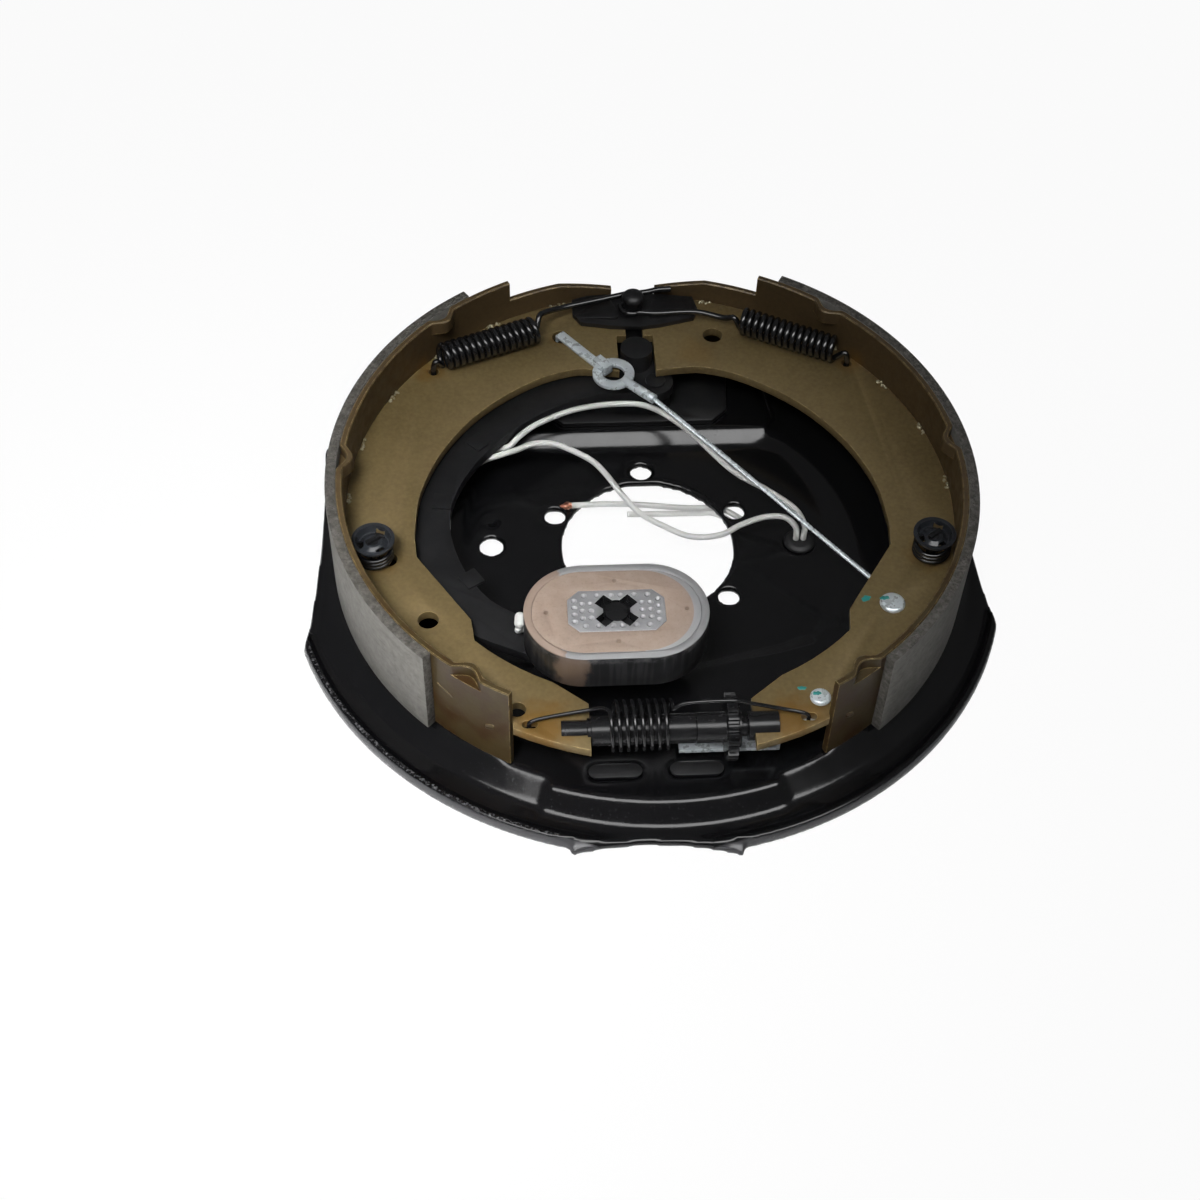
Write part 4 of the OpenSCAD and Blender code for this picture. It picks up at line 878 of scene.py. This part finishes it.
def dimple_tree():
    """Round dimples sunk into a plate at the points of another mesh."""
    tree, given, out = tree_of("dimples", {"Geometry": "NodeSocketGeometry", "Places": "NodeSocketObject",
                                           "Radius": 0.0016, "Material": "NodeSocketMaterial"})
    places = add(tree, "GeometryNodeObjectInfo", {"Object": given["Places"]})
    ball = add(tree, "GeometryNodeMeshIcoSphere", {"Radius": given["Radius"], "Subdivisions": 3})
    stuck = add(tree, "GeometryNodeInstanceOnPoints", {"Points": places.outputs["Geometry"],
                                                       "Instance": ball.outputs["Mesh"]})
    real = add(tree, "GeometryNodeRealizeInstances", {"Geometry": stuck.outputs["Instances"]})
    cut = add(tree, "GeometryNodeMeshBoolean", {0: given["Geometry"], "Mesh 2": real.outputs["Geometry"]},
              operation="DIFFERENCE", solver="EXACT")
    finish_tree(tree, cut, "Mesh", given, out)
    return tree


def empty_piece(name):
    return link(name, bpy.data.meshes.new(name))


WELDS, DIMPLES = weld_spot_tree(), dimple_tree()
MAGNET_XY, MAGNET_TOP = (-21.5, -80.5), 54.0


def weld_spots():
    for name, body, first in (("primary_weld_spots", "primary_shoe", 105.6),
                              ("secondary_weld_spots", "secondary_shoe", 2.5)):
        obj = grow(empty_piece(name), WELDS, Radius=0.1433, Height=0.0363, First=radians(first),
                   Step=radians(14.4), Spots=6, Beads=9, Spread=0.055, Size=0.0007, Material=WELD)
        obj.data.shade_smooth()
        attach(obj, body)


def core_plate():
    """The magnet's core with a field of small dimples either side of the clip."""
    spots = [(x, y) for y in (-8.5, 8.5) for x in (-14, -8.2, -2.1, 2.1, 8.2, 14)]
    spots += [(s * 18.6, y) for s in (-1, 1) for y in (-5.8, -2, 2, 5.8)]
    spots += [(s * x, y) for s in (-1, 1) for x in (11.3, 15.1) for y in (-4, 0, 4)]
    mesh = bpy.data.meshes.new("dimple_places")
    mesh.from_pydata([((MAGNET_XY[0] + x) * MM, (MAGNET_XY[1] + y) * MM, (MAGNET_TOP + 0.8) * MM)
                      for x, y in spots], [], [])
    places = link("dimple_places", mesh)
    obj = rounded_copy("magnet_core_plate", "dimpled_core_plate", 0.3)
    grow(obj, DIMPLES, Places=places, Radius=0.0016, Material=STEEL)
    bpy.data.objects.remove(places)
    soften(obj.data, 30)
    stand_for(obj, "magnet_core_plate", STEEL)
    # The walls of the hole are painted black: painted shade inside the hole.
    obj.data.materials.append(TIP_BLACK)
    hole_radius, wall_top = 10.8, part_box("magnet_core_plate")[1][2] / MM - 0.4
    for face in obj.data.polygons:
        x, y, z = face.center / MM
        in_hole = hypot(x - MAGNET_XY[0], y - MAGNET_XY[1]) < hole_radius and z < wall_top
        if in_hole and abs(face.normal.z) < 0.4:
            face.material_index = 1


def clip_end():
    """The end of the arm's post in the magnet's hole: a disc over four bent tongues."""
    foot_radius, top_radius, depth, disc_z = 5.4, 5.2, 2.6, 52.1
    tongue, tongue_out, tongue_z, tongue_bend = (5.2, 4.0, 0.9), 6.4, 51.0, 16
    middle = Matrix.Translation((MAGNET_XY[0] * MM, MAGNET_XY[1] * MM, 0))
    bent = (Matrix.Translation((tongue_out * MM, 0, tongue_z * MM))
            @ Matrix.Rotation(radians(tongue_bend), 4, "Y"))
    sized = Matrix.Diagonal((*(size * MM for size in tongue), 1))
    bm = bmesh.new()
    bmesh.ops.create_cone(bm, cap_ends=True, segments=40, radius1=foot_radius * MM, radius2=top_radius * MM,
                          depth=depth * MM, matrix=middle @ Matrix.Translation((0, 0, disc_z * MM)))
    for k in range(4):
        turned = Matrix.Rotation(radians(45 + 90 * k), 4, "Z")
        bmesh.ops.create_cube(bm, size=1, matrix=middle @ turned @ bent @ sized)
    obj = link("post_end_clip", mesh_from("post_end_clip", bm))
    break_edges(obj, 0.25, 30)
    soften(obj.data, 40)
    ride_on(obj, "lever_arm", TIP_BLACK)


weld_spots()
core_plate()
clip_end()


def paint_dab(name, body, x, y, z, across, deep):
    """An uneven dab of inspection paint lying on a face."""
    sides, sunk, proud, shrink = 20, 0.02, 0.09, 0.88
    bm = bmesh.new()
    low, high = [], []
    for k in range(sides):
        a = tau * k / sides
        r = 1 + 0.22 * sin(2 * a + x) + 0.14 * sin(5 * a + y)
        out, up = across * r * cos(a), deep * r * sin(a)
        low.append(bm.verts.new(((x + out) * MM, (y + up) * MM, (z - sunk) * MM)))
        high.append(bm.verts.new(((x + out * shrink) * MM, (y + up * shrink) * MM, (z + proud) * MM)))
    skin(bm, [low, high])
    ride_on(mesh_piece(name, bm, 60), body, TEAL)


RIVET_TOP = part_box("cable_guide_rivet")[1][2] / MM
PAWL_RIVET_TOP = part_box("pawl_rivet")[1][2] / MM
paint_dab("guide_rivet_dab", "secondary_shoe", 101.9, -65.2, RIVET_TOP, 1.9, 1.4)
paint_dab("guide_web_dab", "secondary_shoe", 93.8, -63.6, 36.1, 2.3, 1.6)
paint_dab("pawl_rivet_dab", "secondary_shoe", 64.2, -117.4, PAWL_RIVET_TOP, 1.6, 1.3)
paint_dab("pawl_web_dab", "secondary_shoe", 58.3, -112.9, 36.1, 1.7, 1.3)

for node, finish in (("magnet_coil", COPPER), ("magnet_lead_boot", WHITE)):
    frame["nodes"][node].material_slots[0].material = finish


# Springs, leads and cable

# Heights of the webs, of the return springs and of their hooks, in millimetres
WEB_Z, WEB_TOP, SPRING_Z, WIRE_LOW, WIRE_HIGH = 31.3, 36.1, 43.7, 41.1, 44.2
RETURN_WIRE, RETURN_COIL, RETURN_TURNS = 1.5, 5.8, 15
ANCHOR, NECK_OUT = (0.0, 131.0), 4.5 + RETURN_WIRE + 0.35
HOOK_STEPS, COIL_STEPS = 5, 28
STAR_Z, STAR_R, ADJUSTER_WIRE = 33.7, 14.7, 0.9


def round_anchor(angles, z):
    return [point_round(ANCHOR, NECK_OUT, angle, z) for angle in angles]


def return_spring(node, hook, start, end, tail):
    """A return spring in one length, or the primary one in two, whose long hook slides out of its coil."""
    start, end = Vector((*start, SPRING_Z)), Vector((*end, SPRING_Z))
    ahead = (end - start).normalized()
    near = [Vector((*hook, WEB_Z + 1.5)), Vector((*hook, WEB_TOP + 2)),
            Vector((*hook, SPRING_Z - 1.4)) + 1.6 * ahead]
    turns = winding(start, end, RETURN_COIL, RETURN_TURNS, steps=24, first=180)
    coil = smooth_line(near + [turns[0]], HOOK_STEPS)[:-1] + turns
    tail = [Vector(p) for p in tail]
    if node == "secondary_return_spring":
        line = coil + smooth_line([turns[-1]] + tail, HOOK_STEPS)[1:]
        stand_for(wire("wound_" + node, line, RETURN_WIRE), node, SPRING)
        return
    ride_on(wire("wound_%s_coil" % node, coil, RETURN_WIRE), "primary_shoe", SPRING)
    inside = [end - 11 * ahead, end - 5 * ahead, end + 0.5 * ahead]
    stand_for(wire("long_hook_" + node, smooth_line(inside + tail, HOOK_STEPS), RETURN_WIRE), node, SPRING)


def springs():
    return_spring("primary_return_spring", (-102.4, 90.6), (-98, 93), (-51, 111.5),
                  [(-48.6, 116.5, SPRING_Z + 4.4), (-45.5, 120.5, SPRING_Z + 3.4),
                   (-37, 126.5, WIRE_HIGH + 0.3), (-22, 131, WIRE_HIGH)]
                  + round_anchor(range(125, 64, -20), WIRE_HIGH)
                  + [(8, 137.6, WIRE_HIGH), (13, 139, WIRE_HIGH), (20, 139.6, WIRE_HIGH)])
    return_spring("secondary_return_spring", (106, 90), (99.5, 91.9), (54.5, 115),
                  [(51, 117, SPRING_Z), (46, 120, WIRE_LOW), (32, 125, WIRE_LOW), (12, 124.6, WIRE_LOW)]
                  + round_anchor(range(-60, -201, -25), WIRE_LOW))
    for side, place in (("primary", (-129.2, -32)), ("secondary", (127.5, -38))):
        line = winding((*place, WEB_TOP + 1.4), (*place, 45.0), radius=7.8, turns=3.5, steps=COIL_STEPS,
                       up=(1, 0, 0))
        piece = wire("wound_%s_hold_down_spring" % side, line, radius=1.1)
        stand_for(piece, side + "_hold_down_spring", SPRING)
    star_top = STAR_Z + STAR_R + ADJUSTER_WIRE + 0.7
    left = [(-61.2, -127.6, WEB_Z + 1.6), (-61.2, -127.4, WEB_TOP + 1.2), (-54, -125.6, WEB_TOP + 1.9),
            (-36, -124.6, 41), (-30, -126, 44)]
    right = [(4, -128, 48), (12, -128.6, star_top), (26, -128.8, star_top + 0.3), (33, -127.6, 46.5),
             (48, -126.6, WEB_TOP + 4), (58.4, -127.6, WEB_TOP + 1.2), (59.6, -128.2, WEB_Z + 1.6)]
    turns = winding((-27, -129, 35), (0, -129, 35), radius=10.6, turns=8, steps=COIL_STEPS)
    line = (smooth_line(left + [turns[0]], HOOK_STEPS)[:-1] + turns
            + smooth_line([turns[-1]] + right, HOOK_STEPS)[1:])
    piece = wire("wound_adjuster_spring", line, ADJUSTER_WIRE)
    paint(piece, SPRING)
    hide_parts("adjuster_spring")
    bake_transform(piece)
    wire_radius, low_z, high_z = 0.7, 29.5 + 0.9, 34 - 0.9
    line = winding((*MAGNET_XY, low_z), (*MAGNET_XY, high_z), radius=8.0, turns=2, steps=24, up=(1, 0, 0))
    piece = wire("wound_magnet_spring", line, wire_radius, sides=10)
    stand_for(piece, "magnet_spring", ZINC)
    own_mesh(piece)


springs()

LEAD_A = [(-64.6, -75, 36.7), (-64.8, -74.4, 34.2), (-62, -71.5, 32), (-56, -66.5, 31.7), (-50.5, -61.5, 30),
          (-49.5, -59.6, 26), (-53, -58.5, 22.2), (-62, -64, 21.5), (-75, -64, 21.5), (-86, -51, 21.5),
          (-96, -30, 21.5), (-100, -5, 21.5), (-97, 22, 21.5), (-85, 44, 21.5), (-73, 49.5, 21.6),
          (-66, 51, 22.3), (-60, 54.6, 26.2), (-51, 59.4, 29.3), (-33, 65.3, 32.3), (-12, 68, 33),
          (5, 66, 32), (22, 52, 30), (42, 28, 26), (58, 17, 23), (71, 8, 19), (76, 2, 13.5),
          (75.8, -1, 9.6), (75.8, -1, 6.62)]
LEAD_B = [(-64.6, -71.2, 36.7), (-64.2, -70.2, 34.4), (-61.6, -66.6, 32), (-55, -60.9, 31.6),
          (-49, -55.5, 29.5), (-47.5, -53, 25.5), (-52, -53.5, 22), (-60.5, -60.3, 21.5), (-72.5, -60, 21.5),
          (-83, -48.6, 21.5), (-92.6, -29, 21.5), (-96.5, -5, 21.5), (-93.6, 20.5, 21.5), (-81.5, 40, 21.5),
          (-70, 46, 21.6), (-62.5, 48, 22.6), (-54.5, 48.6, 26), (-46, 47, 28), (-38, 44, 27.5),
          (-26, 37, 25.5), (-19, 29, 23.5), (-12, 18, 21), (-4, 8, 18.5), (7, 1, 16.5), (20, -5, 15),
          (34, -5, 15.5), (45, 0, 17), (56, 3, 18.5), (66, 4, 17), (71.6, 1.6, 12.8), (72.2, -1, 9),
          (72.2, -1, 6.62)]
# The points of a route where a lead leaves the magnet and where it lies on the arm, the sides of a
# lead, and the steps past the arm's edge over which it bends
MAGNET_POINT, ARM_POINT, LEAD_SIDES, BEND_STEPS = 3, 5, 14, 12


def magnet_leads():
    """Each lead in three lengths: from the boot to the arm, along the arm's edge, and on to the grommet."""
    for letter, route, leave_point in (("a", LEAD_A, 15), ("b", LEAD_B, 14)):
        name = "magnet_lead_" + letter
        line = smooth_line(route, LEAD_STEPS)
        lie, leave = ARM_POINT * LEAD_STEPS, leave_point * LEAD_STEPS
        boot = wire(name + "_at_boot", line[:lie + 1], LEAD_R, LEAD_SIDES)
        paint(boot, WHITE)
        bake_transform(boot)
        near = wire(name + "_on_arm", line[lie:leave + 1], LEAD_R, LEAD_SIDES)
        ride_on(near, "lever_arm", WHITE)
        far = wire(name + "_to_grommet", line[leave:], LEAD_R, LEAD_SIDES)
        paint(far, WHITE)
        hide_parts(name)
        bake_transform(far)


magnet_leads()

GUIDE, CABLE_OUT, CABLE_Z = (105.3, -67.2), 9.95, 28
CABLE = ([(6.61, 64.19, 39.1), (27, 40, 37.5), (63, -2, 32.8), (99, -44, 28.2)]
         + [point_round(GUIDE, CABLE_OUT, angle, CABLE_Z) for angle in (41, 10, -20, -47)]
         + [(95, -90.3, CABLE_Z), (78, -106, 27.6)])


def laid_cable():
    """Six strands laid round a core along the cable's route."""
    strands, strand_r, core_r, strand_out, lay = 6, 0.43, 0.5, 0.82, 9.0
    steps, core_step = 26, 4
    line = smooth_line(CABLE, steps)
    axes = carried_axes(line)
    bm = bmesh.new()
    sweep_into(bm, line[::core_step] + [line[-1]], core_r, sides=8)
    run = 0.0
    spins = [0.0]
    for before, after in zip(line, line[1:]):
        run += (after - before).length
        spins.append(tau * run / lay)
    for k in range(strands):
        strand = []
        for p, spin, (u, v) in zip(line, spins, axes):
            turn = spin + tau * k / strands
            strand.append(p + strand_out * (cos(turn) * u + sin(turn) * v))
        sweep_into(bm, strand, strand_r, sides=6)
    return mesh_piece("laid_adjuster_cable", bm, 70)


stand_for(laid_cable(), "adjuster_cable", ZINC)


# Floor and light

# Place and aim in metres, size in metres, spread in degrees, power in watts, and whether it only mirrors
LAMPS = (("key_lamp", (-0.34, -0.55, 0.92), (-0.19, -0.14, 0), (0.4, 0.36), 38, 1.28, False),
         ("fill_lamp", (0.1, -0.2, 1.6), (0, 0, 0), (1.4, 1.2), 180, 1.7, False),
         ("soft_box", (0.04, -0.56, 1.15), (0, 0.02, 0), (1.6, 0.52), 180, 20.0, True))
WHITE_LIGHT, FLOOR_Z, FLOOR_HALF = (1, 1, 1, 1), -5.05, 4


def looked_at(tree):
    """1 for a ray from the viewer, straight or through glass."""
    ray = add(tree, "ShaderNodeLightPath").outputs
    return sum_of(tree, "MAXIMUM", ray["Is Camera Ray"], ray["Is Transmission Ray"])


def pale_floor():
    bm = bmesh.new()
    bmesh.ops.create_grid(bm, x_segments=1, y_segments=1, size=FLOOR_HALF)
    floor = link("floor", mesh_from("floor", bm))
    floor.location.z = FLOOR_Z * MM
    material = bpy.data.materials.new("pale_floor")
    material.use_nodes = True
    tree = material.node_tree
    tree.nodes.clear()
    cloth = add(tree, "ShaderNodeBsdfDiffuse", {"Color": (0.82, 0.82, 0.82, 1)})
    glow = add(tree, "ShaderNodeEmission", {"Color": WHITE_LIGHT, "Strength": 1.0})
    share = sum_of(tree, "MULTIPLY", looked_at(tree), 0.95)
    mix = add(tree, "ShaderNodeMixShader", {0: share, 1: cloth.outputs["BSDF"], 2: glow.outputs["Emission"]})
    add(tree, "ShaderNodeOutputMaterial", {"Surface": mix.outputs["Shader"]})
    floor.data.materials.append(material)


def studio():
    scene = bpy.context.scene
    if not scene.world:
        scene.world = bpy.data.worlds.new("studio")
    scene.world.use_nodes = True
    tree = scene.world.node_tree
    tree.nodes.clear()
    level = spread_of(tree, looked_at(tree), 0.0, 1.0, 0.12, 1.0)
    sky = add(tree, "ShaderNodeBackground", {"Color": WHITE_LIGHT, "Strength": level})
    add(tree, "ShaderNodeOutputWorld", {"Surface": sky.outputs["Background"]})
    for name, place, aim, size, spread, power, mirrored in LAMPS:
        data = bpy.data.lights.new(name, "AREA")
        data.shape = "RECTANGLE"
        data.size, data.size_y = size
        data.spread = radians(spread)
        data.energy = power
        lamp = bpy.data.objects.new(name, data)
        scene.collection.objects.link(lamp)
        lamp.location = place
        lamp.rotation_euler = (Vector(aim) - Vector(place)).to_track_quat("-Z", "Y").to_euler()
        lamp.visible_glossy = mirrored
        lamp.visible_diffuse = not mirrored
    scene.view_settings.view_transform = "Standard"


pale_floor()
studio()
